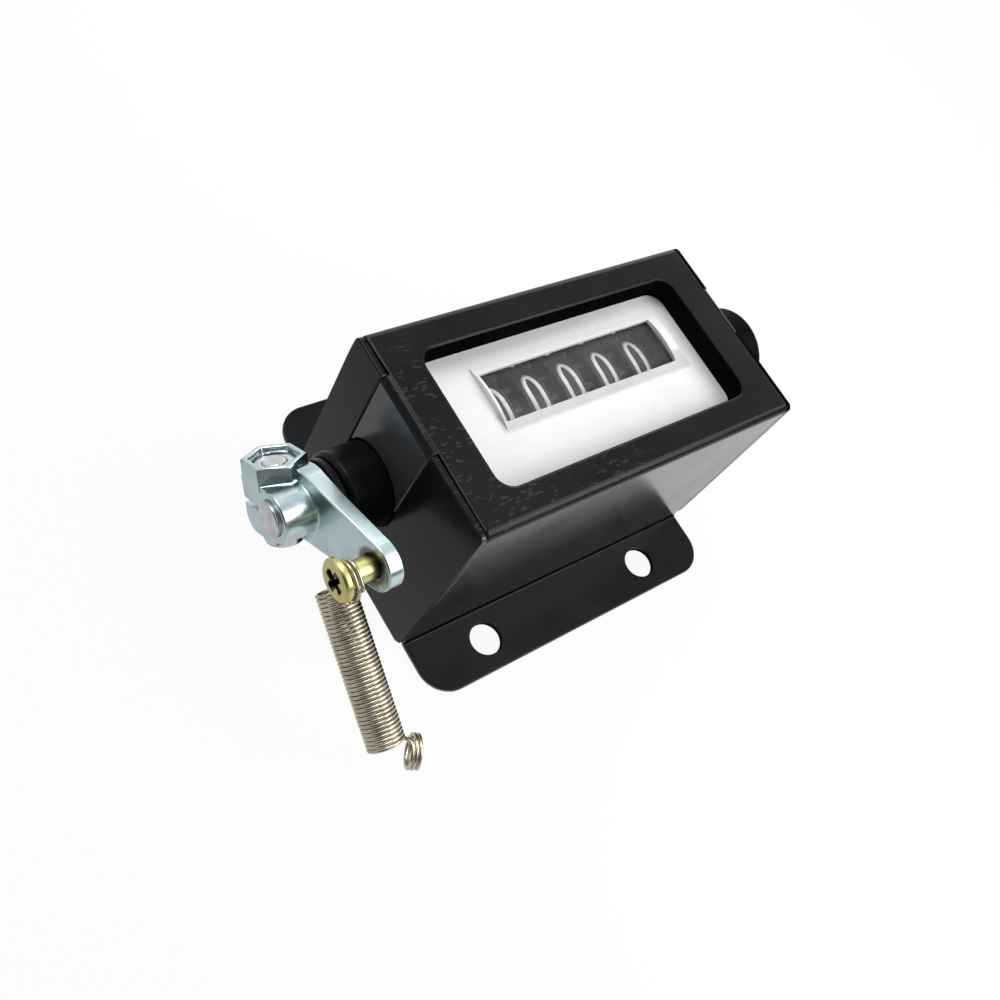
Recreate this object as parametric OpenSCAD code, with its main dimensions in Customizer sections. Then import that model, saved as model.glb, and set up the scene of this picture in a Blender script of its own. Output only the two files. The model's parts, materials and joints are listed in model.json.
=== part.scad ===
// Five-figure stroke counter: a pull lever on the left end steps the number wheels,
// and a knob on the right end turns them back to zero.
// X runs along the wheel row, the dial faces +Z, and Z = 0 is the face that is bolted down.

/* [Housing] */
// Length of the folded cover
body_l = 70; // [64:0.5:80]
// Width across the cover's long walls
body_w = 38.5; // [37.5:0.5:46]
// Height from the mounting face to the top of the cover
body_h = 43; // [41:0.5:52]
// Thickness of the cover's sheet
sheet_t = 1; // [0.8:0.1:1.4]
// Thickness of the base pan's sheet
pan_t = 1.2; // [0.8:0.1:1.5]
// Inside radius of every fold
fold_r = 0.5; // [0.3:0.1:1]
// Seam between the cover and the pan's end plates
seam = 0.1; // [0.05:0.05:0.3]
// Overall width across the two mounting flanges
flange_span = 62; // [60:0.5:74]
// Corner radius of the mounting flanges
flange_corner_r = 6; // [2:0.5:8]
// Distance between mounting holes along X
hole_pitch_x = 40; // [30:0.5:48]
// Distance between mounting holes along Y
hole_pitch_y = 50; // [48:0.5:52]
// Diameter of the mounting holes
hole_d = 6.2; // [4:0.1:7]

/* [Window and dial] */
// Length of the window in the cover
window_l = 56.4; // [52:0.2:60]
// Width of the window in the cover
window_w = 26.4; // [24:0.2:30]
// Corner radius of the window
window_r = 3; // [1:0.5:5]
// Depth of the dial below the cover's top
dial_depth = 4.4; // [3:0.2:6]
// Thickness of the dial plate
dial_t = 1.2; // [0.8:0.1:1.6]
// Lap of the dial plate under the cover, beyond the window's collar
dial_lap = 0.8; // [0.4:0.1:1.2]
// Rise of the arched hood above the dial
hood_rise = 1.2; // [0.8:0.1:2]
// Wall of the arched hood
hood_t = 0.8; // [0.6:0.1:1]
// Radial room between the number wheels and the outside of the hood
hood_room = 4.3; // [3.6:0.1:5]
// Width of the sight slot in the hood, along Y
slot_w = 9.4; // [8:0.2:10]
// Hood left standing to the left of the slot
hood_left = 0.6; // [0.6:0.1:2]
// Hood left standing to the right of the slot
hood_right = 2; // [0.6:0.1:3]
// Thickness of the clear pane under the hood
pane_t = 0.6; // [0.4:0.1:0.8]

/* [Number wheels] */
// Distance of the wheel axis behind the middle of the housing
axis_y = 3.6; // [2.5:0.1:4]
// Middle of the wheel row along X
row_x = 1.8; // [0:0.1:3]
// Diameter of a number wheel
wheel_d = 27; // [26:0.2:27.4]
// Distance from one wheel to the next
wheel_pitch = 8.2; // [7.8:0.1:8.4]
// Gap between neighbouring wheels
wheel_gap = 0.5; // [0.3:0.1:0.8]
// Width of the gear at each wheel's right edge
gear_w = 1.6; // [1.2:0.1:2]
// Width of the carry ring at each wheel's left edge
carry_w = 1.1; // [1:0.1:1.5]
// Diameter of the wheel shaft
shaft_d = 4; // [3.6:0.1:4.4]
// Diameter of the pinion shaft
pinion_shaft_d = 2.5; // [2:0.1:2.6]
// Radial running clearance of every shaft
run_fit = 0.05; // [0.02:0.01:0.09]

/* [Drive] */
// Diameter of the lever shaft
lever_shaft_d = 6; // [5.6:0.1:6.4]
// Diameter of the bush round the lever shaft
bush_d = 15; // [13:0.5:16]
// Length of the bush outside the left end plate
bush_out = 7.3; // [5:0.1:10]
// Tip diameter of the ratchet wheel
ratchet_d = 19; // [18:0.2:19.4]
// Width of the ratchet wheel
ratchet_w = 2; // [1.6:0.1:2.4]
// Thickness of the drive yoke's sheet
yoke_t = 1.2; // [1:0.1:1.5]
// Diameter of the return spring's wire
return_wire_d = 0.8; // [0.6:0.05:0.9]

/* [Lever] */
// Distance from the lever shaft to the spring screw
arm_l = 18; // [15:0.5:22]
// Thickness of the lever's arm at the hub
arm_t = 3.6; // [2.8:0.1:4.5]
// Thickness of the lever's arm at the spring screw
arm_tip_t = 2.8; // [2:0.1:3.2]
// Radius of the arm's rounded end
arm_end_r = 4.4; // [4:0.1:5.4]
// Length of the lever's hub along the shaft
hub_l = 9.2; // [8.6:0.1:11]
// Radius of the lever's hub round the shaft
hub_r = 4.4; // [4:0.1:5.2]
// Radius of the arm round the shaft
arm_root_r = 6.6; // [6:0.1:7.4]
// Angle of the arm at rest, from +Y towards +Z
arm_angle = 152.6; // [140:0.2:165]
// Angle of the clamp's slit, from +Y towards +Z
slit_angle = -39.2; // [-50:0.2:-30]
// Width of the clamp's slit
slit_w = 1.2; // [0.8:0.1:1.6]
// Distance from the lever shaft to the clamp screw
clamp_offset = 5.6; // [5.4:0.1:6.4]
// Width across the flats of the clamp nut
nut_af = 7; // [6:0.1:7.4]
// Diameter of the lever's two screws
screw_d = 4; // [3:0.1:4.4]

/* [Tension spring] */
// Diameter of the spring's wire
wire_d = 0.65; // [0.5:0.05:0.8]
// Outside diameter of the coil
coil_d = 6.5; // [5.8:0.05:6.8]
// Length of the coil
coil_l = 25.3; // [22:0.1:32]
// Turns in the coil
coil_turns = 22.75; // [15.75:1:23.75]
// Slope of the hanging spring below the horizontal
coil_slope = 26.65; // [10:0.05:60]

/* [Reset knob] */
// Diameter of the reset knob
knob_d = 18.6; // [14:0.2:20]
// Length of the reset knob's grip
knob_l = 13; // [9:0.5:16]
// Distance from the right end plate to the knob
knob_stand = 2.2; // [1.6:0.1:5]

/* [Hidden] */
$fn = 64;

// Clearances and small sizes that several pieces share
eps = 0.01;
touch = 0.02;
clear = 0.3;
mesh_gap = 0.3;

// Housing
wall_y = body_w / 2;
fold_out = fold_r + sheet_t;
pan_fold_out = fold_r + pan_t;
pan_in = body_l / 2 + seam;
pan_out = pan_in + pan_t;
pan_top = body_h - 0.3;
plate_corner_r = 1.2;
floor_w = body_w - 2 * sheet_t - 0.3;
lip_l = body_l - 20;
lip_h = 8;

// Dial and the wheel axis under it
dial_z = body_h - dial_depth;
wheel_r = wheel_d / 2;
hood_r = wheel_r + hood_room;
axis_z = dial_z + hood_rise - hood_r;
wheel_w = wheel_pitch - wheel_gap;
row_l = 5 * wheel_pitch - wheel_gap;
row_x0 = row_x - row_l / 2;
row_x1 = row_x + row_l / 2;
slot_x0 = row_x0 + 0.6;
hood_x0 = slot_x0 - hood_left;
hood_x1 = row_x1 + hood_right;

// Carry gearing: a 20-tooth gear on each wheel and 6-tooth pinions
gear_teeth = 20;
pinion_teeth = 6;
gear_tip_r = wheel_r - 0.3;
addendum = 1;
gear_pitch_r = gear_tip_r - addendum;
tooth_pitch = 2 * PI * gear_pitch_r / gear_teeth;
pinion_pitch_r = gear_pitch_r * pinion_teeth / gear_teeth;
pinion_tip_r = pinion_pitch_r + 0.84;
pinion_dist = gear_pitch_r + pinion_pitch_r;
gear_root_r = pinion_dist - pinion_tip_r - mesh_gap;
pinion_root_r = pinion_dist - gear_tip_r - mesh_gap;
pinion_angle = 225;
pinion_w = gear_w + wheel_gap + carry_w - 2 * 0.25;
carry_tip_r = gear_root_r + 1.05;
carry_angle = pinion_angle + 360 / gear_teeth;
rim_in_r = gear_root_r - 1.3;
wheel_hub_r = shaft_d / 2 + 2.2;
spacer_wall = 0.7;
spacer_r = pinion_shaft_d / 2 + spacer_wall;
clip_wall = 1.2;
clip_t = 0.6;

// Ratchet, yoke and pawl beside the units wheel
ratchet_r = ratchet_d / 2;
ratchet_root_r = ratchet_r - 1.9;
ratchet_x1 = row_x1 + ratchet_w;
yoke_right_x0 = ratchet_x1 + 0.6;
yoke_left_x1 = row_x0 - 1;
yoke_left_x0 = yoke_left_x1 - yoke_t;
yoke_bar_r = wheel_r + 1;
yoke_bar_w = 4;
yoke_angle = 262;
sleeve_r = lever_shaft_d / 2 + 0.8;
pawl_pivot_r = 1.9;
pawl_orbit = ratchet_r + 0.5 + pawl_pivot_r;
pawl_tip_r = 0.45;
pawl_root_w = 2.8;
pawl_tip_orbit = ratchet_r + 1.5;
pawl_tip_turn = 37;
pawl_x0 = row_x1 + 0.25;
pawl_x1 = ratchet_x1 - 0.25;
pawl_pin_d = 2;
leaf_t = 0.4;
pawl_leaf_l = 3.4;
holding_room = 4.3;
holding_foot_l = 5;
holding_gap = 0.6;

// Frame plates, posts and feet
frame_t = 1.2;
spring_room = 8.6;
left_plate_x1 = yoke_left_x0 - spring_room;
left_plate_x0 = left_plate_x1 - frame_t;
right_plate_x0 = yoke_right_x0 + yoke_t + 1.1;
right_plate_x1 = right_plate_x0 + frame_t;
frame_y = wall_y - sheet_t - pan_t - 0.4;
frame_z1 = dial_z - dial_t;
foot_l = 8;
foot_z1 = pan_t + frame_t;
post_r = 1.5;
post_orbit = wheel_r + 1.3 + post_r;
post_angles = [47.4, 147];
frame_screw_r = 1.5;
foot_w = 6;
frame_screw_y = frame_y - foot_w / 2 - 2.65;
screw_head_r = 2.8;

// Left shaft and bush
lever_shaft_r = lever_shaft_d / 2;
bush_r = bush_d / 2;
bush_x0 = -pan_out - bush_out;
spigot_r = lever_shaft_r + 1.2;
washer_r = bush_r - 0.7;
washer_t = 1.3;
lever_x1 = bush_x0 - clear - washer_t;
lever_x0 = lever_x1 - hub_l;
shaft_x0 = lever_x0 - 0.7;
pilot_l = 4;
slot_fit = 0.1;
tab_fit = 0.2;

// Right bush and knob
reset_bush_wall = 3;
reset_bush_r = shaft_d / 2 + reset_bush_wall;
reset_spigot_r = shaft_d / 2 + 1.4;
knob_x0 = pan_out + knob_stand;
knob_gap = 0.4;
reset_bush_x1 = knob_x0 - knob_gap;
knob_step = 3.6;
knob_hub_r = knob_d / 2 - knob_step;
knob_hub_l = 3.2;
knob_round = 1.6;
knob_x1 = knob_x0 + knob_hub_l + knob_l;
knob_screw_r = 1.2;

// Lever details
screw_r = screw_d / 2;
clamp_x = (lever_x0 + lever_x1) / 2;
ear_y1 = clamp_offset + 3.8;
ear_z0 = -5.4;
boss_z1 = 7.5;
boss_af = nut_af + 2.2;
nut_t = 3.2;
nut_sink = 1;
nut_z0 = boss_z1 - nut_sink - nut_t;
nut_fit = 0.1;
clamp_head_step = 1.8;
clamp_head_r = screw_r + clamp_head_step;
clamp_head_h = 2.4;
hub_step = 0.2;
arm_x0 = lever_x1 - arm_t;
arm_lean = 0.6;
arm_x1 = lever_x1 - hub_step;
arm_tip_x1 = arm_x1 + arm_lean;
arm_tip_x0 = arm_tip_x1 - arm_tip_t;
arm_reach = arm_l + arm_end_r + 1;
pin_y = axis_y + arm_l * cos(arm_angle);
pin_z = axis_z + arm_l * sin(arm_angle);
loop_pitch = wire_d + 0.45;
hook_turns = 1.25;
hook_play = 1.9;
pan_head_r = 1.8 * screw_r;
pan_head_h = 0.65 * screw_r;

// Tension spring: hook loops round the screw, the coil, and the loops at its free end
wire_r = wire_d / 2;
coil_r = coil_d / 2 - wire_r;
hook_r = screw_r + 0.75;
eye_r = 2.7;
eye_turns = 1.75;
curl_rings = 8;
hook_x = arm_x0 - 0.3 - wire_r;
hook_x1 = hook_x - hook_turns * loop_pitch;
coil_x = hook_x1 - 0.9;
coil_drop = 3.5;
coil_top = [coil_x, pin_y - 0.4, pin_z - pan_head_r - coil_drop];
along = [0, -cos(coil_slope), -sin(coil_slope)];
across = [0, -sin(coil_slope), cos(coil_slope)];
outward = [1, 0, 0];
eye_reach = eye_r + 0.3;
eye_side = coil_r + 0.3;
eye_start = 60;

// Pieces along the wheel axis
module on_axis() {
    translate([0, axis_y, axis_z]) children();
}

module rod_x(r, x0, x1) {
    translate([x0, 0, 0]) rotate([0, 90, 0]) cylinder(r = r, h = x1 - x0);
}

module tube_x(r_out, r_in, x0, x1) {
    difference() {
        rod_x(r_out, x0, x1);
        rod_x(r_in, x0 - 1, x1 + 1);
    }
}

// Lays a flat shape in the YZ plane and gives it a thickness along X
module plate_x(x0, t) {
    translate([x0, 0, 0]) rotate([90, 0, 90]) linear_extrude(t) children();
}

// Lays a flat shape in the XZ plane and gives it a width along Y
module strip_y(y_mid, w) {
    translate([0, y_mid + w / 2, 0]) rotate([90, 0, 0]) linear_extrude(w) children();
}

module box(low, high) {
    translate(low) cube(high - low);
}

module rounded_rect(l, w, r) {
    square([l - 2 * r, w], center = true);
    square([l, w - 2 * r], center = true);
    for (sx = [-1, 1], sy = [-1, 1]) {
        translate([sx * (l / 2 - r), sy * (w / 2 - r)]) circle(r);
    }
}

// Two circles joined by their outer tangents, which end just inside the circles
module link(l, r1, r2) {
    inset = 0.03;
    lean = asin((r1 - r2) / l);
    a = (r1 - inset) * [sin(lean), cos(lean)];
    b = (r2 - inset) * [sin(lean), cos(lean)];
    circle(r1);
    translate([l, 0]) circle(r2);
    polygon([[0, 0], a, [l, 0] + b, [l, 0], [l + b.x, -b.y], [a.x, -a.y]]);
}

// A quarter of a sheet's fold, in the quadrant that sx and sy point to
module fold(t, sx, sy) {
    outer = fold_r + t;
    intersection() {
        difference() {
            circle(outer);
            circle(fold_r);
        }
        translate([sx > 0 ? 0 : -outer, sy > 0 ? 0 : -outer]) square(outer);
    }
}

// Round blank with straight-sided teeth
module gear_shape(teeth, root_r, tip_r, base_w, tip_w) {
    circle(root_r);
    for (i = [0 : teeth - 1]) rotate(i * 360 / teeth) tooth_shape(root_r, tip_r, base_w, tip_w);
}

module tooth_shape(root_r, tip_r, base_w, tip_w) {
    foot = root_r - 0.4;
    polygon([[foot, -base_w / 2], [tip_r, -tip_w / 2], [tip_r, tip_w / 2], [foot, base_w / 2]]);
}

// Housing
module cover() {
    color([0.12, 0.12, 0.13]) {
        difference() {
            intersection() {
                plate_x(-body_l / 2, body_l) cover_section();
                linear_extrude(body_h) rounded_rect(body_l, flange_span, flange_corner_r);
            }
            translate([0, 0, dial_z]) linear_extrude(dial_depth + 1) {
                rounded_rect(window_l, window_w, window_r);
            }
            for (sx = [-1, 1], sy = [-1, 1]) {
                translate([sx * hole_pitch_x / 2, sy * hole_pitch_y / 2, -1]) {
                    cylinder(d = hole_d, h = sheet_t + 2);
                }
            }
        }
        window_collar();
        end_tab(-1, bush_r + slot_fit);
        end_tab(1, reset_bush_r + slot_fit);
    }
}

// Half of the folded sheet on each side: top, wall and mounting flange
module cover_section() {
    translate([-wall_y + fold_out, body_h - sheet_t]) square([body_w - 2 * fold_out, sheet_t]);
    for (side = [0, 1]) mirror([side, 0]) {
        translate([wall_y - fold_out, body_h - fold_out]) fold(sheet_t, 1, 1);
        translate([wall_y - sheet_t, fold_out]) square([sheet_t, body_h - 2 * fold_out]);
        translate([wall_y + fold_r, fold_out]) fold(sheet_t, -1, -1);
        translate([wall_y + fold_r, 0]) square([flange_span / 2 - wall_y - fold_r, sheet_t]);
    }
}

// Drawn collar that runs from the window's edge down to the dial
module window_collar() {
    translate([0, 0, dial_z]) linear_extrude(dial_depth - sheet_t) difference() {
        rounded_rect(window_l + 2 * sheet_t, window_w + 2 * sheet_t, window_r + sheet_t);
        rounded_rect(window_l, window_w, window_r);
    }
}

// Tab folded down from a short edge, closing the slot in the end plate above the bush
module end_tab(side, slot_r) {
    outer = pan_out;
    mirror([side < 0 ? 1 : 0, 0, 0]) difference() {
        strip_y(axis_y, 2 * (slot_r - tab_fit)) {
            translate([body_l / 2, body_h - sheet_t]) square([outer - fold_out - body_l / 2, sheet_t]);
            translate([outer - fold_out, body_h - fold_out]) fold(sheet_t, 1, 1);
            translate([outer - sheet_t, axis_z]) square([sheet_t, body_h - fold_out - axis_z]);
        }
        on_axis() rod_x(slot_r + tab_fit, 0, outer + 1);
    }
}

module base_pan() {
    color([0.13, 0.13, 0.14]) difference() {
        union() {
            strip_y(0, floor_w) pan_section();
            for (side = [0, 1]) mirror([side, 0, 0]) plate_x(pan_in, pan_t) end_plate_shape();
            for (side = [-1, 1]) pan_lip(side);
        }
        bush_slot(-1, bush_r + slot_fit);
        bush_slot(1, reset_bush_r + slot_fit);
        frame_screw_places() {
            cylinder(r = frame_screw_r + touch, h = pan_t + 1);
            translate([0, 0, -eps]) {
                cylinder(r1 = screw_head_r + touch, r2 = frame_screw_r + touch, h = pan_t + 2 * eps);
            }
        }
    }
}

module pan_section() {
    translate([-pan_out + pan_fold_out, 0]) square([2 * (pan_out - pan_fold_out), pan_t]);
    for (side = [0, 1]) mirror([side, 0]) {
        translate([pan_out - pan_fold_out, pan_fold_out]) fold(pan_t, 1, -1);
        translate([pan_in, pan_fold_out]) square([pan_t, pan_top - pan_fold_out]);
    }
}

module end_plate_shape() {
    low = pan_fold_out;
    translate([0, (low + pan_top) / 2]) rounded_rect(body_w, pan_top - low, plate_corner_r);
}

// Upright lip that is spot-welded to the cover's long wall
module pan_lip(side) {
    y_out = side * (wall_y - sheet_t);
    y_in = y_out - side * pan_t;
    box([-lip_l / 2, min(y_in, y_out), 0], [lip_l / 2, max(y_in, y_out), pan_t + lip_h]);
}

// Slot in an end plate: round under the bush and open to the top
module bush_slot(side, slot_r) {
    mirror([side < 0 ? 1 : 0, 0, 0]) {
        on_axis() rod_x(slot_r, pan_in - 1, pan_out + 1);
        box([pan_in - 1, axis_y - slot_r, axis_z], [pan_out + 1, axis_y + slot_r, body_h + 1]);
    }
}

module dial_plate() {
    plate_l = window_l + 2 * (sheet_t + dial_lap);
    plate_w = window_w + 2 * (sheet_t + dial_lap);
    color([0.95, 0.95, 0.95]) difference() {
        union() {
            translate([0, 0, frame_z1]) linear_extrude(dial_t) rounded_rect(plate_l, plate_w, window_r);
            intersection() {
                on_axis() rod_x(hood_r, hood_x0, hood_x1);
                box([hood_x0, axis_y - hood_r, frame_z1], [hood_x1, axis_y + hood_r, body_h]);
            }
        }
        on_axis() rod_x(hood_r - hood_t, slot_x0, hood_x1 - hood_t);
        translate([slot_x0, axis_y - slot_w / 2 - 0.2, frame_z1 - 1]) {
            cube([row_x1 - slot_x0, slot_w, body_h]);
        }
    }
}

// Clear arched pane that lies against the inside of the hood
module window_pane() {
    pane_r = hood_r - hood_t - run_fit;
    pane_l = hood_x1 - hood_t - slot_x0 - 0.2;
    color([0.8, 0.85, 0.9, 0.35]) on_axis() plate_x(slot_x0 + 0.1, pane_l) intersection() {
        difference() {
            circle(pane_r);
            circle(pane_r - pane_t);
        }
        translate([-slot_w * 0.62, 0]) square([slot_w * 1.24, pane_r]);
    }
}

// Frame inside the housing
module frame_plate(x0, foot_x0, axis_hole_r) {
    difference() {
        union() {
            plate_x(x0, frame_t) frame_outline();
            for (side = [-1, 1]) {
                translate([foot_x0, side * frame_screw_y - foot_w / 2, pan_t]) {
                    cube([foot_l, foot_w, frame_t]);
                }
            }
        }
        on_axis() {
            rod_x(axis_hole_r + touch, x0 - 1, x0 + frame_t + 1);
            post_places() rod_x(0.7 * post_r + touch, x0 - 1, x0 + frame_t + 1);
            pinion_place() rod_x(pinion_shaft_d / 2 + touch, x0 - 1, x0 + frame_t + 1);
        }
        frame_screw_places() cylinder(r = frame_screw_r + touch, h = foot_z1 + 1);
    }
}

module frame_outline() {
    cut = 4;
    polygon([
        [-frame_y, pan_t], [frame_y, pan_t], [frame_y, frame_z1 - cut], [frame_y - cut, frame_z1],
        [-frame_y + cut, frame_z1], [-frame_y, frame_z1 - cut]
    ]);
}

module left_frame_plate() {
    color([0.72, 0.72, 0.7]) frame_plate(left_plate_x0, left_plate_x1 - eps, spigot_r);
}

module right_frame_plate() {
    color([0.72, 0.72, 0.7]) frame_plate(right_plate_x0, right_plate_x0 - foot_l + eps, reset_spigot_r);
}

module post_places() {
    for (a = post_angles) translate([0, post_orbit * cos(a), post_orbit * sin(a)]) children();
}

module frame_posts() {
    color([0.75, 0.75, 0.73]) on_axis() post_places() {
        rod_x(post_r, left_plate_x1, right_plate_x0);
        rod_x(0.7 * post_r, left_plate_x0 - 0.4, right_plate_x1 + 0.4);
    }
}

module frame_screw_places() {
    for (x = [left_plate_x1 + foot_l / 2, right_plate_x0 - foot_l / 2], side = [-1, 1]) {
        translate([x, side * frame_screw_y, 0]) children();
    }
}

module frame_screws() {
    color([0.7, 0.7, 0.68]) frame_screw_places() {
        cylinder(r1 = screw_head_r, r2 = frame_screw_r, h = pan_t);
        cylinder(r = frame_screw_r, h = foot_z1 - touch);
    }
}

// Wheels and carry gearing
module wheel_shaft() {
    color([0.78, 0.78, 0.78]) on_axis() rod_x(shaft_d / 2, yoke_left_x1 - pilot_l + clear, knob_x1 - 4);
}

function wheel_x(k) = row_x0 + (k - 1) * wheel_pitch;

module number_wheel(k) {
    x0 = wheel_x(k);
    gear_x0 = x0 + wheel_w - gear_w;
    color([0.2, 0.2, 0.21]) on_axis() difference() {
        union() {
            rod_x(wheel_hub_r, x0, x0 + wheel_w);
            rod_x(rim_in_r + 1, x0 + carry_w + 1.6, x0 + carry_w + 3.2);
            tube_x(wheel_r, rim_in_r, x0 + carry_w, gear_x0);
            plate_x(gear_x0, gear_w) rotate(pinion_angle) difference() {
                gear_shape(gear_teeth, gear_root_r, gear_tip_r, 0.47 * tooth_pitch, 0.21 * tooth_pitch);
                circle(rim_in_r + 0.2);
            }
            plate_x(x0, carry_w) carry_ring();
        }
        rod_x(shaft_d / 2 + run_fit, x0 - 1, x0 + wheel_w + 1);
    }
}

// Smooth locking ring with the two teeth that step the next wheel's pinion
module carry_ring() {
    difference() {
        union() {
            circle(gear_root_r);
            for (a = [-5, 5]) rotate(carry_angle + a) tooth_shape(gear_root_r, carry_tip_r, 0.8, 0.6);
        }
        circle(rim_in_r + 0.2);
    }
}

module number_wheel_1() { number_wheel(1); }
module number_wheel_2() { number_wheel(2); }
module number_wheel_3() { number_wheel(3); }
module number_wheel_4() { number_wheel(4); }
module number_wheel_5() { number_wheel(5); }

module pinion_place() {
    translate([0, pinion_dist * cos(pinion_angle), pinion_dist * sin(pinion_angle)]) children();
}

function pinion_x(k) = wheel_x(k) + wheel_w - gear_w + 0.25;

// The pinion's tooth space faces the wheel at rest, round one of the gear's teeth
module carry_pinion(k) {
    color([0.86, 0.84, 0.76]) on_axis() pinion_place() plate_x(pinion_x(k), pinion_w) difference() {
        rotate(pinion_angle + 180 / pinion_teeth) {
            gear_shape(pinion_teeth, pinion_root_r, pinion_tip_r, 0.366 * tooth_pitch, 0.183 * tooth_pitch);
        }
        circle(pinion_shaft_d / 2 + run_fit);
    }
}

module carry_pinion_1() { carry_pinion(1); }
module carry_pinion_2() { carry_pinion(2); }
module carry_pinion_3() { carry_pinion(3); }
module carry_pinion_4() { carry_pinion(4); }

module pinion_shaft() {
    color([0.75, 0.75, 0.75]) on_axis() pinion_place() {
        rod_x(pinion_shaft_d / 2, left_plate_x0 - 1.4, right_plate_x1 + 1.4);
    }
}

// Sleeves that keep the pinions at their wheels
module pinion_spacers() {
    ends = [for (k = [1 : 4]) [pinion_x(k), pinion_x(k) + pinion_w]];
    starts = concat([left_plate_x1], [for (e = ends) e[1] + 0.15]);
    stops = concat([for (e = ends) e[0] - 0.15], [right_plate_x0]);
    color([0.8, 0.8, 0.78]) on_axis() pinion_place() for (i = [0 : 4]) {
        tube_x(spacer_r, pinion_shaft_d / 2 + touch, starts[i], stops[i]);
    }
}

module pinion_clips() {
    color([0.6, 0.6, 0.6]) on_axis() pinion_place() for (x = [left_plate_x0 - clip_t, right_plate_x1]) {
        plate_x(x, clip_t) difference() {
            circle(pinion_shaft_d / 2 + clip_wall);
            circle(pinion_shaft_d / 2 + touch);
            rotate(45) translate([0, -0.6]) square([pinion_shaft_d, 1.2]);
        }
    }
}

// Drive
module ratchet_wheel() {
    teeth = 10;
    step = 360 / teeth;
    outline = [for (i = [0 : teeth - 1], r = [ratchet_root_r, ratchet_r]) r * [cos(i * step), sin(i * step)]];
    color([0.7, 0.68, 0.62]) on_axis() plate_x(row_x1, ratchet_w) difference() {
        polygon(outline);
        circle(shaft_d / 2 + run_fit);
    }
}

// Leaf that stops the units wheel from running back
module holding_spring() {
    back = -ratchet_r - holding_room;
    foot = foot_z1 - axis_z;
    nose = ratchet_r + holding_gap;
    color([0.8, 0.78, 0.7]) on_axis() plate_x(pawl_x0, pawl_x1 - pawl_x0) polygon([
        [back, foot], [back + holding_foot_l, foot], [back + holding_foot_l, foot + leaf_t],
        [back + leaf_t, foot + leaf_t], [back + leaf_t, 0], [-nose * cos(12), nose * sin(12)],
        [-nose * cos(15), nose * sin(15)], [back, leaf_t]
    ]);
}

// Sheet bail that carries the lever's swing past the wheels to the ratchet
module drive_yoke() {
    bar_x1 = yoke_right_x0 + yoke_t;
    color([0.72, 0.72, 0.72]) on_axis() {
        difference() {
            union() {
                rod_x(sleeve_r, left_plate_x1 + 0.4 + clear, yoke_left_x1);
                plate_x(yoke_left_x0, yoke_t) yoke_arm(sleeve_r + 1.4);
            }
            rod_x(lever_shaft_r + touch, left_plate_x1, yoke_left_x1 + 1);
        }
        difference() {
            plate_x(yoke_right_x0, yoke_t) yoke_arm(shaft_d / 2 + 2.2);
            rod_x(shaft_d / 2 + run_fit, yoke_right_x0 - 1, bar_x1 + 1);
            pawl_place() rod_x(pawl_pin_d / 2 + touch, yoke_right_x0 - 1, bar_x1 + 1);
        }
        rotate([yoke_angle, 0, 0]) {
            box([yoke_left_x0, yoke_bar_r, -yoke_bar_w / 2], [bar_x1, yoke_bar_r + yoke_t, yoke_bar_w / 2]);
        }
    }
}

module yoke_arm(root_r) {
    rotate(yoke_angle) {
        circle(root_r);
        polygon([
            [0, -root_r], [yoke_bar_r + yoke_t, -yoke_bar_w / 2],
            [yoke_bar_r + yoke_t, yoke_bar_w / 2], [0, root_r]
        ]);
    }
}

module pawl_place() {
    translate([0, pawl_orbit * cos(yoke_angle), pawl_orbit * sin(yoke_angle)]) children();
}

module drive_pawl() {
    pivot = pawl_orbit * [cos(yoke_angle), sin(yoke_angle)];
    tip = pawl_tip_orbit * [cos(yoke_angle + pawl_tip_turn), sin(yoke_angle + pawl_tip_turn)];
    reach = tip - pivot;
    l = norm(reach);
    color([0.7, 0.65, 0.5]) on_axis() pawl_place() plate_x(pawl_x0, pawl_x1 - pawl_x0) difference() {
        rotate(atan2(reach.y, reach.x)) {
            circle(pawl_pivot_r);
            polygon([
                [0, -pawl_root_w / 2], [l, -pawl_tip_r], [l + pawl_tip_r, 0],
                [l, pawl_tip_r], [0, pawl_root_w / 2]
            ]);
        }
        circle(pawl_pin_d / 2 + run_fit);
    }
}

module pawl_pin() {
    color([0.8, 0.8, 0.8]) on_axis() pawl_place() {
        rod_x(pawl_pin_d / 2, pawl_x0, yoke_right_x0 + yoke_t + 0.4);
    }
}

// Leaf on the yoke's bar that presses the pawl home
module pawl_spring() {
    color([0.8, 0.78, 0.7]) on_axis() rotate([yoke_angle, 0, 0]) {
        translate([pawl_x0 + 0.2, yoke_bar_r, yoke_bar_w / 2]) {
            cube([pawl_x1 - pawl_x0 - 0.4, leaf_t, pawl_leaf_l]);
        }
    }
}

// Left end: shaft, bush and lever
module lever_shaft() {
    color([0.8, 0.8, 0.82]) on_axis() difference() {
        rod_x(lever_shaft_r, shaft_x0, yoke_left_x1);
        rod_x(shaft_d / 2 + run_fit, yoke_left_x1 - pilot_l, yoke_left_x1 + 1);
    }
}

module shaft_bush() {
    edge = 0.6;
    color([0.08, 0.08, 0.09]) on_axis() difference() {
        translate([bush_x0, 0, 0]) rotate([0, 90, 0]) rotate_extrude() polygon([
            [0, 0], [bush_r - edge, 0], [bush_r, edge], [bush_r, left_plate_x0 - bush_x0],
            [spigot_r, left_plate_x0 - bush_x0], [spigot_r, left_plate_x1 + 0.4 - bush_x0],
            [0, left_plate_x1 + 0.4 - bush_x0]
        ]);
        rod_x(lever_shaft_r + run_fit, bush_x0 - 1, left_plate_x1 + 1);
    }
}

module thrust_washer() {
    color([0.1, 0.1, 0.1]) on_axis() tube_x(washer_r, lever_shaft_r + touch, lever_x1, lever_x1 + washer_t);
}

module at_clamp() {
    on_axis() rotate([slit_angle, 0, 0]) translate([clamp_x, clamp_offset, 0]) children();
}

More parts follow.
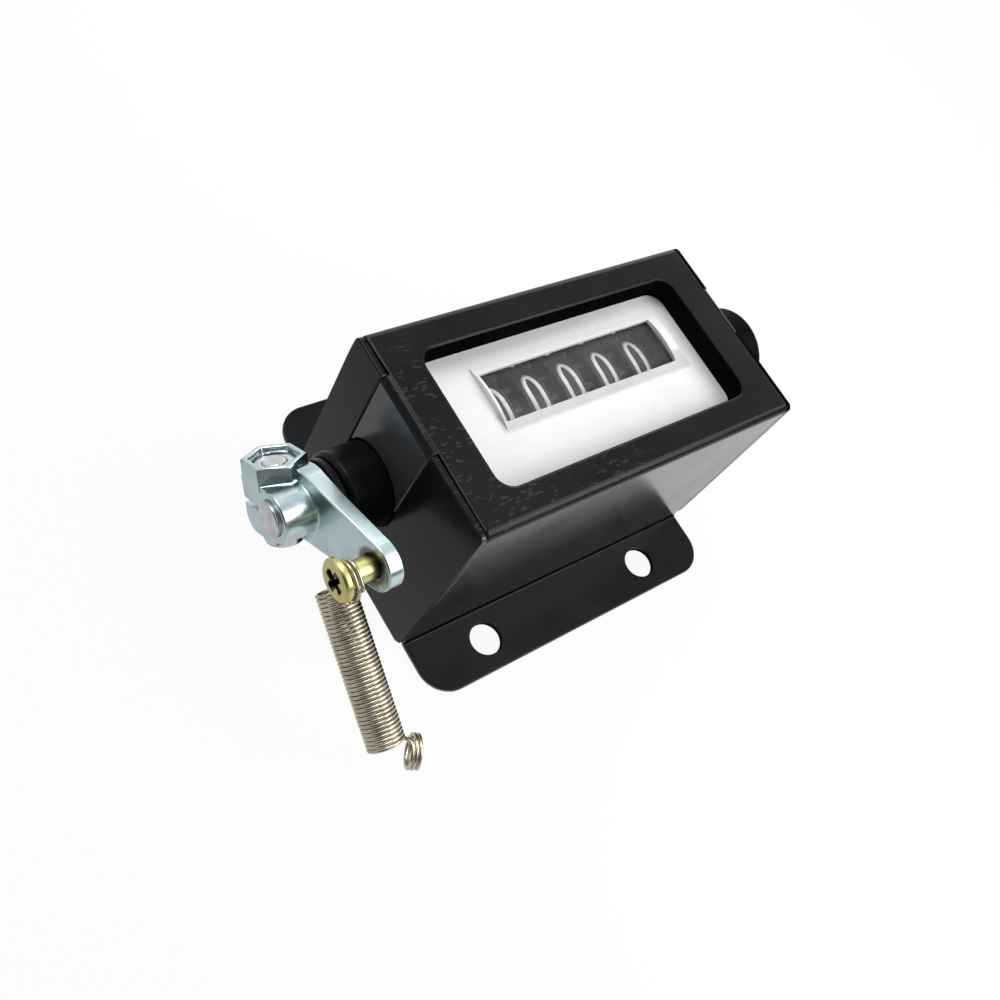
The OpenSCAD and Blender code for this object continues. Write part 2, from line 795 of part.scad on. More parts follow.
module lever() {
    color([0.75, 0.78, 0.8]) difference() {
        union() {
            on_axis() {
                rod_x(hub_r, lever_x0, lever_x1);
                lever_arm();
                rotate([slit_angle, 0, 0]) clamp_ears();
            }
            at_clamp() linear_extrude(boss_z1) rotate(30) circle(d = boss_af / cos(30), $fn = 6);
        }
        on_axis() {
            rod_x(lever_shaft_r + touch, lever_x0 - 1, lever_x1 + 1);
            rotate([slit_angle, 0, 0]) {
                box([lever_x0 - 1, 0, -slit_w / 2], [lever_x1 + 1, ear_y1 + 4, slit_w / 2]);
            }
        }
        at_clamp() {
            translate([0, 0, ear_z0 - 1]) cylinder(r = screw_r + 0.1, h = boss_z1 - ear_z0 + 2);
            translate([0, 0, ear_z0 - hub_l]) cylinder(r = clamp_head_r + clear, h = hub_l);
            translate([0, 0, nut_z0]) linear_extrude(boss_z1) {
                rotate(30) circle(d = (nut_af + 2 * nut_fit) / cos(30), $fn = 6);
            }
        }
        translate([0, pin_y, pin_z]) rod_x(screw_r + touch, arm_x0 - 1, lever_x1 + 1);
    }
}

// Arm that thins towards its end and leans towards the housing, clear of the washer
module lever_arm() {
    near_slope = (arm_tip_x0 - arm_x0) / arm_l;
    lean_start = washer_r + 0.4;
    far_slope = arm_lean / (arm_l - lean_start);
    intersection() {
        plate_x(arm_x0 - 1, arm_t + 2) rotate(arm_angle) link(arm_l, arm_root_r, arm_end_r);
        rotate([arm_angle, 0, 0]) linear_extrude(2 * arm_root_r + 2, center = true) polygon([
            [arm_x0, -arm_root_r - 1], [arm_x0, 0], [arm_x0 + near_slope * arm_reach, arm_reach],
            [arm_x1 + far_slope * (arm_reach - lean_start), arm_reach], [arm_x1, lean_start],
            [arm_x1, -arm_root_r - 1]
        ]);
    }
}

// Two jaws beside the shaft, rounded off below
module clamp_ears() {
    jaw_r = 3;
    plate_x(lever_x0 + hub_step, hub_l - 2 * hub_step) {
        translate([0, ear_z0 + jaw_r]) square([ear_y1, -ear_z0 - jaw_r + 4.4]);
        translate([0, ear_z0]) square([ear_y1 - jaw_r, jaw_r + eps]);
        translate([ear_y1 - jaw_r, ear_z0 + jaw_r]) circle(jaw_r);
    }
}

module clamp_screw() {
    color([0.82, 0.82, 0.82]) at_clamp() {
        translate([0, 0, ear_z0 - clamp_head_h]) {
            cylinder(r1 = clamp_head_r - 0.6, r2 = clamp_head_r, h = clamp_head_h);
        }
        translate([0, 0, ear_z0 - eps]) cylinder(r = screw_r, h = nut_z0 + nut_t - ear_z0 + 0.2);
    }
}

module clamp_nut() {
    color([0.85, 0.85, 0.85]) at_clamp() translate([0, 0, nut_z0 + touch]) {
        intersection() {
            linear_extrude(nut_t) difference() {
                rotate(30) circle(d = nut_af / cos(30), $fn = 6);
                circle(screw_r + touch);
            }
            cylinder(r1 = nut_af / 2 + 2 * nut_t, r2 = nut_af / 2 - 0.3, h = nut_t);
        }
    }
}

// Brass screw whose bare shank carries the tension spring
module spring_screw() {
    shank_x0 = hook_x1 - wire_r - hook_play;
    slot = 0.55 * screw_r;
    recess_h = 0.8 * screw_r;
    recess_l = 1.08 * pan_head_r;
    color([0.82, 0.7, 0.3]) translate([0, pin_y, pin_z]) difference() {
        union() {
            rod_x(screw_r, shank_x0 - eps, arm_tip_x1 - clear);
            translate([shank_x0, 0, 0]) rotate([0, -90, 0]) pan_head();
        }
        for (a = [15, 105]) rotate([a, 0, 0]) {
            translate([shank_x0 - pan_head_h - 1, -recess_l / 2, -slot / 2]) {
                cube([recess_h + 1, recess_l, slot]);
            }
        }
    }
}

module pan_head() {
    crown = pan_head_h / 2;
    rotate_extrude() {
        square([pan_head_r, pan_head_h - crown]);
        square([pan_head_r - crown, pan_head_h]);
        translate([pan_head_r - crown, pan_head_h - crown]) circle(crown);
    }
}

// Wound springs: a round wire swept along a list of points
function unit(v) = v / norm(v);
function tangent_at(path, i) = unit(path[min(i + 1, len(path) - 1)] - path[max(i - 1, 0)]);
function square_to(v, t) = unit(v - (v * t) * t);
function ring_normals(path, first) = [
    for (i = 0, n = square_to(first, tangent_at(path, 0)); i < len(path);
         i = i + 1, n = square_to(n, tangent_at(path, min(i, len(path) - 1)))) n
];

module wire(path, r, first, sides = 6) {
    normals = ring_normals(path, first);
    last = len(path) - 1;
    points = [
        for (i = [0 : last]) let (t = tangent_at(path, i), n = normals[i], b = cross(t, n))
            for (s = [0 : sides - 1]) path[i] + r * (cos(s * 360 / sides) * n + sin(s * 360 / sides) * b)
    ];
    skin = [
        for (i = [0 : last - 1], s = [0 : sides - 1])
            let (a = i * sides + s, b = i * sides + (s + 1) % sides)
                each [[a, b + sides, b], [a, a + sides, b + sides]]
    ];
    end = last * sides;
    caps = [for (s = [1 : sides - 2]) each [[0, s, s + 1], [end, end + s + 1, end + s]]];
    polyhedron(points, concat(skin, caps));
}

// Least gap between stretches of a wire that are more than half a curl apart
function least_gap(path, r) = min([
    for (i = [0 : len(path) - 1]) for (j = [i + 6 : 1 : len(path) - 1]) norm(path[i] - path[j])
]) - 2 * r;

// Smooth bridge from one point and direction to another
function bridge(p, dir_p, q, dir_q, count) = [
    for (i = [1 : count]) let (u = i / (count + 1), v = 1 - u)
        v * v * (1 + 2 * u) * p + u * u * (1 + 2 * v) * q + u * v * v * dir_p - u * u * v * dir_q
];

// Hook: loops round the screw, ending at their lowest point and heading to the front
hook_steps = hook_turns * curl_rings;
hook = [
    for (i = [0 : hook_steps]) let (a = 360 * hook_turns * (1 - i / hook_steps))
        [hook_x - loop_pitch * hook_turns * i / hook_steps, pin_y + hook_r * sin(a), pin_z - hook_r * cos(a)]
];

// Coil: starts on the side of the screw and ends on its right-hand side
coil_steps = coil_turns * curl_rings;
coil = [
    for (i = [0 : coil_steps]) let (a = -360 * i / curl_rings)
        coil_top + coil_l * i / coil_steps * along + coil_r * (cos(a) * across + sin(a) * outward)
];

// Eye: loops beside the coil's free end
eye_centre = coil_top + (coil_l + eye_reach) * along + eye_side * outward;
eye_steps = eye_turns * curl_rings;
eye = [
    for (i = [0 : eye_steps]) let (a = eye_start + 360 * i / curl_rings)
        eye_centre + loop_pitch * i / curl_rings * outward + eye_r * (-cos(a) * along + sin(a) * across)
];
eye_heading = sin(eye_start) * along + cos(eye_start) * across;

function straight_start(path, l) = path[0] + l * unit(path[0] - path[1]);
function straight_end(path, l) = path[len(path) - 1] + l * unit(path[len(path) - 1] - path[len(path) - 2]);

tension_path = concat(
    [straight_start(hook, wire_d)], hook,
    bridge(hook[len(hook) - 1], [0, -2, -2], coil[0], [-5, 0, 0], 3), coil,
    bridge(coil[len(coil) - 1], 3 * across, eye[0], 3 * eye_heading, 2), eye,
    [straight_end(eye, wire_d)]
);

module tension_spring() {
    echo("least gap of the tension spring's wire, mm", least_gap(tension_path, wire_r));
    color([0.75, 0.72, 0.65]) wire(tension_path, wire_r, outward);
}

// Return spring: round the yoke's sleeve, one leg on the frame plate and one on the yoke's arm
return_r = sleeve_r + 0.6 + return_wire_d;
return_turns = 4;
return_leg = return_wire_d + 0.2;
return_x0 = left_plate_x1 + return_leg;
return_x1 = yoke_left_x0 - clear - return_leg;
return_steps = return_turns * curl_rings;
return_path = concat(
    [[left_plate_x1, axis_y + return_r, axis_z]],
    [for (i = [0 : return_steps]) let (a = 360 * i / curl_rings) [
        return_x0 + (return_x1 - return_x0) * i / return_steps,
        axis_y + return_r * cos(a), axis_z + return_r * sin(a)
    ]],
    [[yoke_left_x0 - clear, axis_y + return_r, axis_z]]
);

module return_spring() {
    echo("least gap of the return spring's wire, mm", least_gap(return_path, return_wire_d / 2));
    color([0.6, 0.6, 0.58]) wire(return_path, return_wire_d / 2, [0, 1, 0.3]);
}

// Right end: bush and reset knob
module reset_bush() {
    color([0.08, 0.08, 0.09]) on_axis() difference() {
        union() {
            rod_x(reset_bush_r, right_plate_x1, reset_bush_x1);
            rod_x(reset_spigot_r, right_plate_x0 - 0.5, right_plate_x1 + eps);
        }
        rod_x(shaft_d / 2 + run_fit, right_plate_x0 - 2, reset_bush_x1 + 1);
    }
}

module reset_knob() {
    grip_x0 = knob_x0 + knob_hub_l;
    color([0.1, 0.1, 0.1]) on_axis() difference() {
        union() {
            rod_x(knob_hub_r, knob_x0, grip_x0 + eps);
            translate([grip_x0, 0, 0]) rotate([0, 90, 0]) rotate_extrude() grip_profile();
        }
        rod_x(shaft_d / 2 + touch, knob_x0 - 1, knob_x1 - 3.8);
        knob_screw_place() cylinder(r = knob_screw_r + touch, h = knob_hub_r + 1);
    }
}

// Half of the grip's section: a drum with rounded edges
module grip_profile() {
    r = knob_d / 2;
    square([r - knob_round, knob_l]);
    translate([0, knob_round]) square([r, knob_l - 2 * knob_round]);
    for (h = [knob_round, knob_l - knob_round]) translate([r - knob_round, h]) circle(knob_round);
}

module knob_screw_place() {
    translate([knob_x0 + knob_hub_l / 2, 0, 0]) rotate([150, 0, 0]) translate([0, 0, shaft_d / 2]) children();
}

module knob_screw() {
    color([0.5, 0.5, 0.5]) on_axis() knob_screw_place() translate([0, 0, touch]) {
        cylinder(r = knob_screw_r, h = knob_hub_r - shaft_d / 2 - 0.3);
    }
}

cover();
base_pan();
dial_plate();
window_pane();
left_frame_plate();
right_frame_plate();
frame_posts();
frame_screws();
wheel_shaft();
number_wheel_1();
number_wheel_2();
number_wheel_3();
number_wheel_4();
number_wheel_5();
carry_pinion_1();
carry_pinion_2();
carry_pinion_3();
carry_pinion_4();
pinion_shaft();
pinion_spacers();
pinion_clips();
ratchet_wheel();
holding_spring();
drive_yoke();
drive_pawl();
pawl_pin();
pawl_spring();
return_spring();
lever_shaft();
shaft_bush();
thrust_washer();
lever();
clamp_screw();
clamp_nut();
spring_screw();
tension_spring();
reset_bush();
reset_knob();
knob_screw();
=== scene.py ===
"""Studio scene of a five-figure stroke counter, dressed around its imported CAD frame."""

import json
import logging
import math
from dataclasses import dataclass, field
from enum import Enum
from functools import reduce
from typing import Any, Callable, ClassVar

import bmesh
import bpy
import numpy as np
from mathutils import Matrix, Vector


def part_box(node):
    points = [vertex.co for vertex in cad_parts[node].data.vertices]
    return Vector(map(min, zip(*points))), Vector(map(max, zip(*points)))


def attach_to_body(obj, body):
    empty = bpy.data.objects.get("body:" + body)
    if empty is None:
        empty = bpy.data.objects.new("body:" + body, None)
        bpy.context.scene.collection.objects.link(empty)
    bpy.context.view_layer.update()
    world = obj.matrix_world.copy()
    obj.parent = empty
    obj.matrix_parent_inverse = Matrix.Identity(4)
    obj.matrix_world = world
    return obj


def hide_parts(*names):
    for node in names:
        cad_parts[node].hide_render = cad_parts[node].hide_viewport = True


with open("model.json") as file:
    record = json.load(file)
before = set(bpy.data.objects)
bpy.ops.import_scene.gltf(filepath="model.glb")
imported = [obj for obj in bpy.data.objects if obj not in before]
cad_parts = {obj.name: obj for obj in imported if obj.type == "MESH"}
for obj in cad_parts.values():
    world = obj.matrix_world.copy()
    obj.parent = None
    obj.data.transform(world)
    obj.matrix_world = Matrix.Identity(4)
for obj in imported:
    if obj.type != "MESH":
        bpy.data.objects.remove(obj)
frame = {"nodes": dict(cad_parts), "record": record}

log = logging.getLogger("stroke_counter")

Span = tuple[float, float]
Point = tuple[float, float, float]
Colour = tuple[float, float, float]
Array = np.ndarray
Material = bpy.types.Material
Piece = bpy.types.Object
Edge = bmesh.types.BMEdge
Vert = bmesh.types.BMVert

MM = 0.001
TINY = 1e-12
NOISE_MEAN = 0.5
# Places in millimetres that several classes share. The two axes lie along X and are given as y and z.
SCREW_AXIS: Span = (-12.381, 30.284)
SHAFT_AXIS: Span = (3.6, 22.0)
WHEEL_PITCH = 8.2


class Slot(Enum):
    """The record's material slots, by what they cover."""

    BODY = "body_black"
    DIAL = "dial_white"
    PANE = "clear_pane"
    WHEEL = "wheel_black"
    PINION = "pinion_plastic"
    SHEET = "zinc_sheet"
    STEEL = "bright_steel"
    SPRING = "spring_steel"
    CAST = "die_cast_zinc"
    BRASS = "brass_screw"
    BUSH = "bush_black"
    KNOB = "knob_black"


Finishes = dict[Slot, Material]


def operator(operation: str, swapped: bool = False) -> Callable[..., "Wire"]:
    """Makes a method that adds a Math node of self and any other operand.

    Args:
        operation: The Math node's operation.
        swapped: Whether the other operand comes first.

    Returns:
        The method.
    """

    def combine(self: "Wire", *other: Any) -> "Wire":
        """Adds the node to the wire's graph."""
        operands = (*other, self) if swapped else (self, *other)
        return self.graph.wire("ShaderNodeMath", dict(enumerate(operands)), operation=operation)

    return combine


class Wire:
    """One output socket of a shader graph, with arithmetic that adds Math nodes."""

    def __init__(self, graph: "Graph", socket: bpy.types.NodeSocket) -> None:
        """Keeps the socket and the graph that it belongs to."""
        self.graph = graph
        self.socket = socket

    __add__ = operator("ADD")
    __radd__ = operator("ADD", swapped=True)
    __sub__ = operator("SUBTRACT")
    __rsub__ = operator("SUBTRACT", swapped=True)
    __mul__ = operator("MULTIPLY")
    __rmul__ = operator("MULTIPLY", swapped=True)
    __truediv__ = operator("DIVIDE")
    __rtruediv__ = operator("DIVIDE", swapped=True)
    __abs__ = operator("ABSOLUTE")
    larger = operator("MAXIMUM")
    root = operator("SQRT")
    fraction = operator("FRACT")

    def swing(self, size: float) -> "Wire":
        """Self, a noise, as a change of that size about 0."""
        return (self - NOISE_MEAN) * size

    def step(self, low: float, high: float) -> "Wire":
        """Smooth step of self.

        Args:
            low: Value at which the step leaves 0.
            high: Value at which it reaches 1; below low for a falling step.

        Returns:
            A wire between 0 and 1.
        """
        rising = low < high
        ends = {"From Min": min(low, high), "From Max": max(low, high)}
        ends |= {"To Min": 0.0 if rising else 1.0, "To Max": 1.0 if rising else 0.0}
        return self.graph.wire("ShaderNodeMapRange", {"Value": self, **ends}, interpolation_type="SMOOTHSTEP")


class Graph:
    """The node tree of a material, or of the world, under construction."""

    def __init__(self, name: str, world: bool = False) -> None:
        """Starts an empty material or world.

        Args:
            name: Its name.
            world: Whether it is a world.
        """
        self.owner = (bpy.data.worlds if world else bpy.data.materials).new(name)
        self.owner.use_nodes = True
        self.tree = self.owner.node_tree
        self.tree.nodes.clear()
        self.output = self.node("ShaderNodeOutputWorld" if world else "ShaderNodeOutputMaterial")

    def feed(self, socket: bpy.types.NodeSocket, value: Any) -> None:
        """Links a wire to an input socket, or sets the socket's own value.

        Args:
            socket: The input socket.
            value: A wire or a value; a colour is three numbers.
        """
        if isinstance(value, Wire):
            self.tree.links.new(value.socket, socket)
        elif socket.type == "RGBA":
            socket.default_value = (*value, 1.0)
        else:
            socket.default_value = value

    def node(self, kind: str, inputs: dict[Any, Any] | None = None, **settings: Any) -> Any:
        """Adds a node.

        Args:
            kind: Blender's name for the node's type.
            inputs: Values or wires by socket name or number.
            **settings: Properties of the node, set before its inputs.

        Returns:
            The new node.
        """
        made = self.tree.nodes.new(kind)
        for key, value in settings.items():
            setattr(made, key, value)
        for key, value in (inputs or {}).items():
            self.feed(made.inputs[key], value)
        return made

    def wire(self, kind: str, inputs: dict[Any, Any], output: int | str = 0, **settings: Any) -> Wire:
        """Adds a node and gives one of its outputs."""
        return Wire(self, self.node(kind, inputs, **settings).outputs[output])

    def place(self) -> Wire:
        """Object coordinates, which are the row frame's metres at rest."""
        return self.wire("ShaderNodeTexCoord", {}, "Object")

    def axes(self) -> tuple[Wire, Wire, Wire]:
        """The x, y and z of the object coordinates, in millimetres."""
        grown = self.wire("ShaderNodeVectorMath", {0: self.place(), "Scale": 1 / MM}, operation="SCALE")
        return tuple(Wire(self, socket) for socket in self.node("ShaderNodeSeparateXYZ", {0: grown}).outputs)

    def mapped(self, place: Wire, stretch: Point, turn: float = 0.0) -> Wire:
        """Coordinates turned about Z by an angle in degrees, and stretched."""
        values = {"Vector": place, "Scale": stretch, "Rotation": (0.0, 0.0, math.radians(turn))}
        return self.wire("ShaderNodeMapping", values)

    def noise(self, size_mm: float, detail: float = 2.0, stretch: Point = (1.0, 1.0, 1.0)) -> Wire:
        """Noise of about 0.25 to 0.75 with features of that size; a stretch below 1 draws them out."""
        values = {"Vector": self.mapped(self.place(), stretch), "Scale": 1 / (size_mm * MM), "Detail": detail}
        return self.wire("ShaderNodeTexNoise", values)

    def swayed(self, size_mm: float, reach_mm: float) -> Wire:
        """Object coordinates moved about by noise.

        Args:
            size_mm: Size of the noise's features.
            reach_mm: Half of the widest move along an axis.

        Returns:
            The moved coordinates.
        """
        values = {"Vector": self.place(), "Scale": 1 / (size_mm * MM), "Detail": 1.0}
        drift = self.wire("ShaderNodeTexNoise", values, "Color")
        moved = {0: drift, 1: (2 * reach_mm * MM,) * 3, 2: self.place()}
        return self.wire("ShaderNodeVectorMath", moved, operation="MULTIPLY_ADD")

    def cells(self, size_mm: float, place: Wire | None = None, scatter: str = "3D") -> Wire:
        """Distance to the nearest point of a scatter, in cells of that size."""
        values = {"Vector": place or self.place(), "Scale": 1 / (size_mm * MM)}
        return self.wire("ShaderNodeTexVoronoi", values, "Distance", voronoi_dimensions=scatter)

    def blend(self, factor: Any, first: Any, second: Any) -> Wire:
        """Mixes two colours, each a triple or a wire: a factor of 0 gives the first, 1 gives the second."""
        return self.wire("ShaderNodeMix", {0: factor, 6: first, 7: second}, 2, data_type="RGBA")

    def bump(self, height: Wire, depth_mm: float, strength: float) -> Wire:
        """Normal bent by a height field, whose height of 1 stands for a depth in millimetres."""
        values = {"Strength": strength, "Distance": depth_mm * MM, "Height": height}
        return self.wire("ShaderNodeBump", values)

    def close(self, **sockets: Any) -> Material:
        """Ends the material with a Principled shader, whose inputs have underscores for spaces."""
        inputs = {key.replace("_", " "): value for key, value in sockets.items()}
        return self.end(self.node("ShaderNodeBsdfPrincipled", inputs))

    def end(self, shader: Any) -> Any:
        """Links a shader node to the output and gives the finished material or world."""
        self.tree.links.new(shader.outputs[0], self.output.inputs[0])
        return self.owner


@dataclass(frozen=True)
class Finish:
    """A surface of two tones in slow clouds, with a fine grain in its relief.

    The grain and the cloud each have a size in millimetres and a share in the roughness. The relief has a
    depth in millimetres and a strength. The values given here are those of moulded plastic.
    """

    name: str
    dark: Colour
    pale: Colour
    roughness: float
    grain: Span = (0.22, 0.18)
    relief: Span = (0.012, 0.5)
    stretch: Point = (1.0, 1.0, 1.0)
    cloud: Span = (6.0, 0.14)
    cloud_edge: Span = (0.32, 0.7)
    specular: float = 0.5
    metallic: float = 0.0

    def surface(self, g: Graph, cloud: Wire, grain: Wire) -> tuple[Wire, Wire]:
        """Colour and height of the surface: the tones mixed by the cloud, and the grain.

        Args:
            g: Graph to add to.
            cloud: Slow noise.
            grain: Fine noise.

        Returns:
            A wire for each.
        """
        return g.blend(cloud.step(*self.cloud_edge), self.dark, self.pale), grain

    def make(self) -> Material:
        """Builds the material.

        Returns:
            A material whose gloss varies with its cloud and its grain.
        """
        g = Graph(self.name)
        cloud = g.noise(self.cloud[0], detail=3.0)
        grain = g.noise(self.grain[0], stretch=self.stretch)
        colour, height = self.surface(g, cloud, grain)
        rough = self.roughness + grain.swing(self.grain[1]) + cloud.swing(self.cloud[1])
        return g.close(Base_Color=colour, Metallic=self.metallic, Roughness=rough,
                       Specular_IOR_Level=self.specular, Normal=g.bump(height, *self.relief))


@dataclass(frozen=True)
class Creases:
    """One set of short pressed strokes that all lie the same way."""

    size_mm: float
    stretch: float
    turn: float
    edge: Span

    def draw(self, g: Graph, place: Wire) -> Wire:
        """A wire that is 1 on the strokes, at coordinates that may sway."""
        mapped = g.mapped(place, (self.stretch, 1.0, 1.0), self.turn)
        return g.cells(self.size_mm, mapped, "2D").step(*self.edge)


@dataclass(frozen=True)
class PaintedSheet(Finish):
    """Black stove enamel on folded sheet, with orange peel, dust and small pressed creases on the top."""

    name: str = "black_enamel_sheet"
    dark: Colour = (0.0052, 0.0064, 0.0074)
    pale: Colour = (0.0098, 0.0114, 0.0129)
    roughness: float = 0.19
    grain: Span = (0.6, 0.12)
    relief: Span = (0.02, 0.3)
    cloud: Span = (16.0, 0.16)
    cloud_edge: Span = (0.35, 0.7)
    specular: float = 0.53
    peel_height: float = 0.25
    grit_mm: float = 0.17
    grit_height: float = 0.05
    # Painted reflection: a paler tone up the walls between two heights, in the given share.
    painted_reflection: Colour = (0.068, 0.071, 0.078)
    reflection_z: Span = (14.0, 36.0)
    reflection_share: float = 0.0
    dust: Colour = (0.30, 0.30, 0.31)
    dust_mm: float = 9.0
    dust_edge: Span = (0.03, 0.012)
    dusty: float = 0.45
    crease: Colour = (0.075, 0.08, 0.088)
    crease_height: float = 5.0
    creased: float = 0.33
    crease_sets: tuple[Creases, ...] = (
        Creases(1.2, 0.22, 20.0, (0.15, 0.07)),
        Creases(1.05, 0.24, 62.0, (0.14, 0.065)),
        Creases(1.35, 0.2, -28.0, (0.12, 0.06)),
    )
    sway_mm: Span = (2.6, 0.9)
    patch_mm: float = 5.0
    patch_edge: Span = (0.36, 0.56)
    top_z: Span = (42.4, 42.6)
    left_x: Span = (-27.6, -28.8)
    left_y: Span = (17.5, 13.0)
    front_x: Span = (9.0, -12.0)
    front_y: Span = (-12.9, -14.0)

    def creases(self, g: Graph) -> Wire:
        """Short strokes along the left top strip and the near part of the front strip.

        Args:
            g: Graph to add to.

        Returns:
            A wire that is 1 on a stroke.
        """
        x, y, z = g.axes()
        left = x.step(*self.left_x) * y.step(*self.left_y)
        front = y.step(*self.front_y) * x.step(*self.front_x)
        sway = g.swayed(*self.sway_mm)
        strokes = [marks.draw(g, sway) for marks in self.crease_sets]
        patches = g.noise(self.patch_mm).step(*self.patch_edge)
        return reduce(Wire.larger, strokes) * patches * left.larger(front) * z.step(*self.top_z)

    def surface(self, g: Graph, cloud: Wire, grain: Wire) -> tuple[Wire, Wire]:
        """Colour and height of the enamel, with a painted reflection that grows paler up the walls, creases
        and dust.

        Args:
            g: Graph to add to.
            cloud: Slow noise.
            grain: Fine noise.

        Returns:
            A wire for each.
        """
        colour, peel = super().surface(g, cloud, grain)
        height = peel * self.peel_height + g.noise(self.grit_mm, detail=1.0) * self.grit_height
        # Painted reflection: the walls grow paler upwards.
        if self.reflection_share:
            colour = g.blend(g.axes()[2].step(*self.reflection_z) * self.reflection_share, colour, self.painted_reflection)
        if self.creased:
            crease = self.creases(g)
            height = height + crease * self.crease_height
            colour = g.blend(crease * self.creased, colour, self.crease)
        dust = g.cells(self.dust_mm).step(*self.dust_edge)
        return g.blend(dust * self.dusty, colour, self.dust), height


@dataclass(frozen=True)
class CastZinc(Finish):
    """Tumbled zinc die casting: bluish silver with shallow pits, and a painted brown shade and dark
    reflection round the spring's screw.
    """

    name: str = "tumbled_zinc_casting"
    dark: Colour = (0.51, 0.635, 0.67)
    pale: Colour = (0.62, 0.755, 0.785)
    roughness: float = 0.24
    grain: Span = (1.1, 0.12)
    relief: Span = (0.014, 0.3)
    cloud: Span = (5.0, 0.1)
    cloud_edge: Span = (0.3, 0.72)
    metallic: float = 1.0
    pit: Colour = (0.3, 0.34, 0.36)
    pit_mm: float = 1.7
    pit_edge: Span = (0.09, 0.03)
    pit_share: float = 0.3
    pit_height: float = 0.4
    # Painted shade and dark reflection on the arm's face round the spring's screw: its colour, radii and how
    # much of it shows.
    painted_shade: Colour = (0.075, 0.062, 0.05)
    screw_shade_r: Span = (3.7, 2.7)
    screw_shade_least: float = 0.55
    screw_shade_clouds: float = 0.5

    def surface(self, g: Graph, cloud: Wire, grain: Wire) -> tuple[Wire, Wire]:
        """Colour and height of the casting, with pits, and painted shade and dark reflection within a
        distance of the screw's axis.

        Args:
            g: Graph to add to.
            cloud: Slow noise.
            grain: Fine noise.

        Returns:
            A wire for each.
        """
        colour, skin = super().surface(g, cloud, grain)
        pits = g.cells(self.pit_mm).step(*self.pit_edge)
        colour = g.blend(pits * self.pit_share, colour, self.pit)
        _, y, z = g.axes()
        y, z = y - SCREW_AXIS[0], z - SCREW_AXIS[1]
        # Painted shade and dark reflection in a ring round the screw's axis, made uneven by the cloud.
        shaded_ring = (y * y + z * z).root().step(*self.screw_shade_r) * (self.screw_shade_least + cloud * self.screw_shade_clouds)
        return g.blend(shaded_ring, colour, self.painted_shade), skin - pits * self.pit_height


@dataclass(frozen=True)
class TurnedMetal(Finish):
    """Metal turned on a lathe about X, with fine tool rings."""

    roughness: float = 0.2
    grain: Span = (0.12, 0.18)
    relief: Span = (0.01, 0.5)
    stretch: Point = (1.0, 0.06, 0.06)
    cloud: Span = (2.6, 0.1)
    metallic: float = 1.0


@dataclass(frozen=True)
class BrassScrew(TurnedMetal):
    """Yellow passivated screw along X, with painted shade in its cross recess and where its shank meets the
    lever.
    """

    name: str = "passivated_brass"
    dark: Colour = (0.64, 0.57, 0.215)
    pale: Colour = (0.78, 0.715, 0.33)
    roughness: float = 0.32
    # Colour of the painted shade in the cross recess and at the shank's joint with the lever.
    painted_shade: Colour = (0.028, 0.019, 0.008)
    recess_x: Span = (-52.6, -52.7)
    recess_half_w: Span = (0.86, 0.70)
    recess_half_l: Span = (2.27, 2.03)
    joint_x: Span = (-49.3, -47.9)
    joint_share: float = 0.85

    def surface(self, g: Graph, cloud: Wire, grain: Wire) -> tuple[Wire, Wire]:
        """Colour and height of the screw, with painted shade in a cross on its face and at the shank's far
        end.

        Args:
            g: Graph to add to.
            cloud: Slow noise.
            grain: Fine noise.

        Returns:
            A wire for each.
        """
        colour, rings = super().surface(g, cloud, grain)
        x, y, z = g.axes()
        y, z = abs(y - SCREW_AXIS[0]), abs(z - SCREW_AXIS[1])
        flat = y.step(*self.recess_half_l) * z.step(*self.recess_half_w)
        tall = z.step(*self.recess_half_l) * y.step(*self.recess_half_w)
        # Painted shade: dark in the cross recess and where the shank enters the lever.
        recess = flat.larger(tall) * x.step(*self.recess_x)
        joint = x.step(*self.joint_x) * self.joint_share
        return g.blend(recess.larger(joint), colour, self.painted_shade), rings


@dataclass(frozen=True)
class SpringWire(Finish):
    """Drawn spring wire with a warm nickel tone, soft dark patches and faint drawing marks."""

    name: str = "drawn_spring_wire"
    dark: Colour = (0.49, 0.43, 0.335)
    pale: Colour = (0.66, 0.60, 0.48)
    roughness: float = 0.27
    grain: Span = (0.18, 0.1)
    relief: Span = (0.0015, 0.2)
    cloud: Span = (3.0, 0.0)
    cloud_edge: Span = (0.3, 0.62)
    metallic: float = 1.0


@dataclass(frozen=True)
class MouldedPlastic(Finish):
    """Moulded plastic or lacquer with a fine spark-eroded grain."""


@dataclass(frozen=True)
class WheelPlastic(Finish):
    """Charcoal number wheel whose gear and carry rings are worn paler than the figure band."""

    name: str = "charcoal_wheel"
    dark: Colour = (0.030, 0.031, 0.034)
    pale: Colour = (0.037, 0.038, 0.042)
    roughness: float = 0.42
    grain: Span = (0.2, 0.2)
    cloud: Span = (1.2, 0.0)
    cloud_edge: Span = (0.25, 0.6)
    specular: float = 0.3
    worn: float = 0.8
    row_x0: float = -18.45
    figure_start: float = 1.1
    figure_end: float = 6.1
    soft: float = 0.123

    def surface(self, g: Graph, cloud: Wire, grain: Wire) -> tuple[Wire, Wire]:
        """Colour and height of the wheel, which is paler outside the figure band.

        Args:
            g: Graph to add to.
            cloud: Slow noise, which makes the wear uneven.
            grain: Fine noise.

        Returns:
            A wire for each.
        """
        x, _, _ = g.axes()
        along = ((x - self.row_x0) / WHEEL_PITCH).fraction() * WHEEL_PITCH
        late = along.step(self.figure_end, self.figure_end + self.soft)
        early = along.step(self.figure_start, self.figure_start - self.soft)
        wear = late.larger(early) * cloud.step(*self.cloud_edge) * self.worn
        return g.blend(wear, self.dark, self.pale), grain


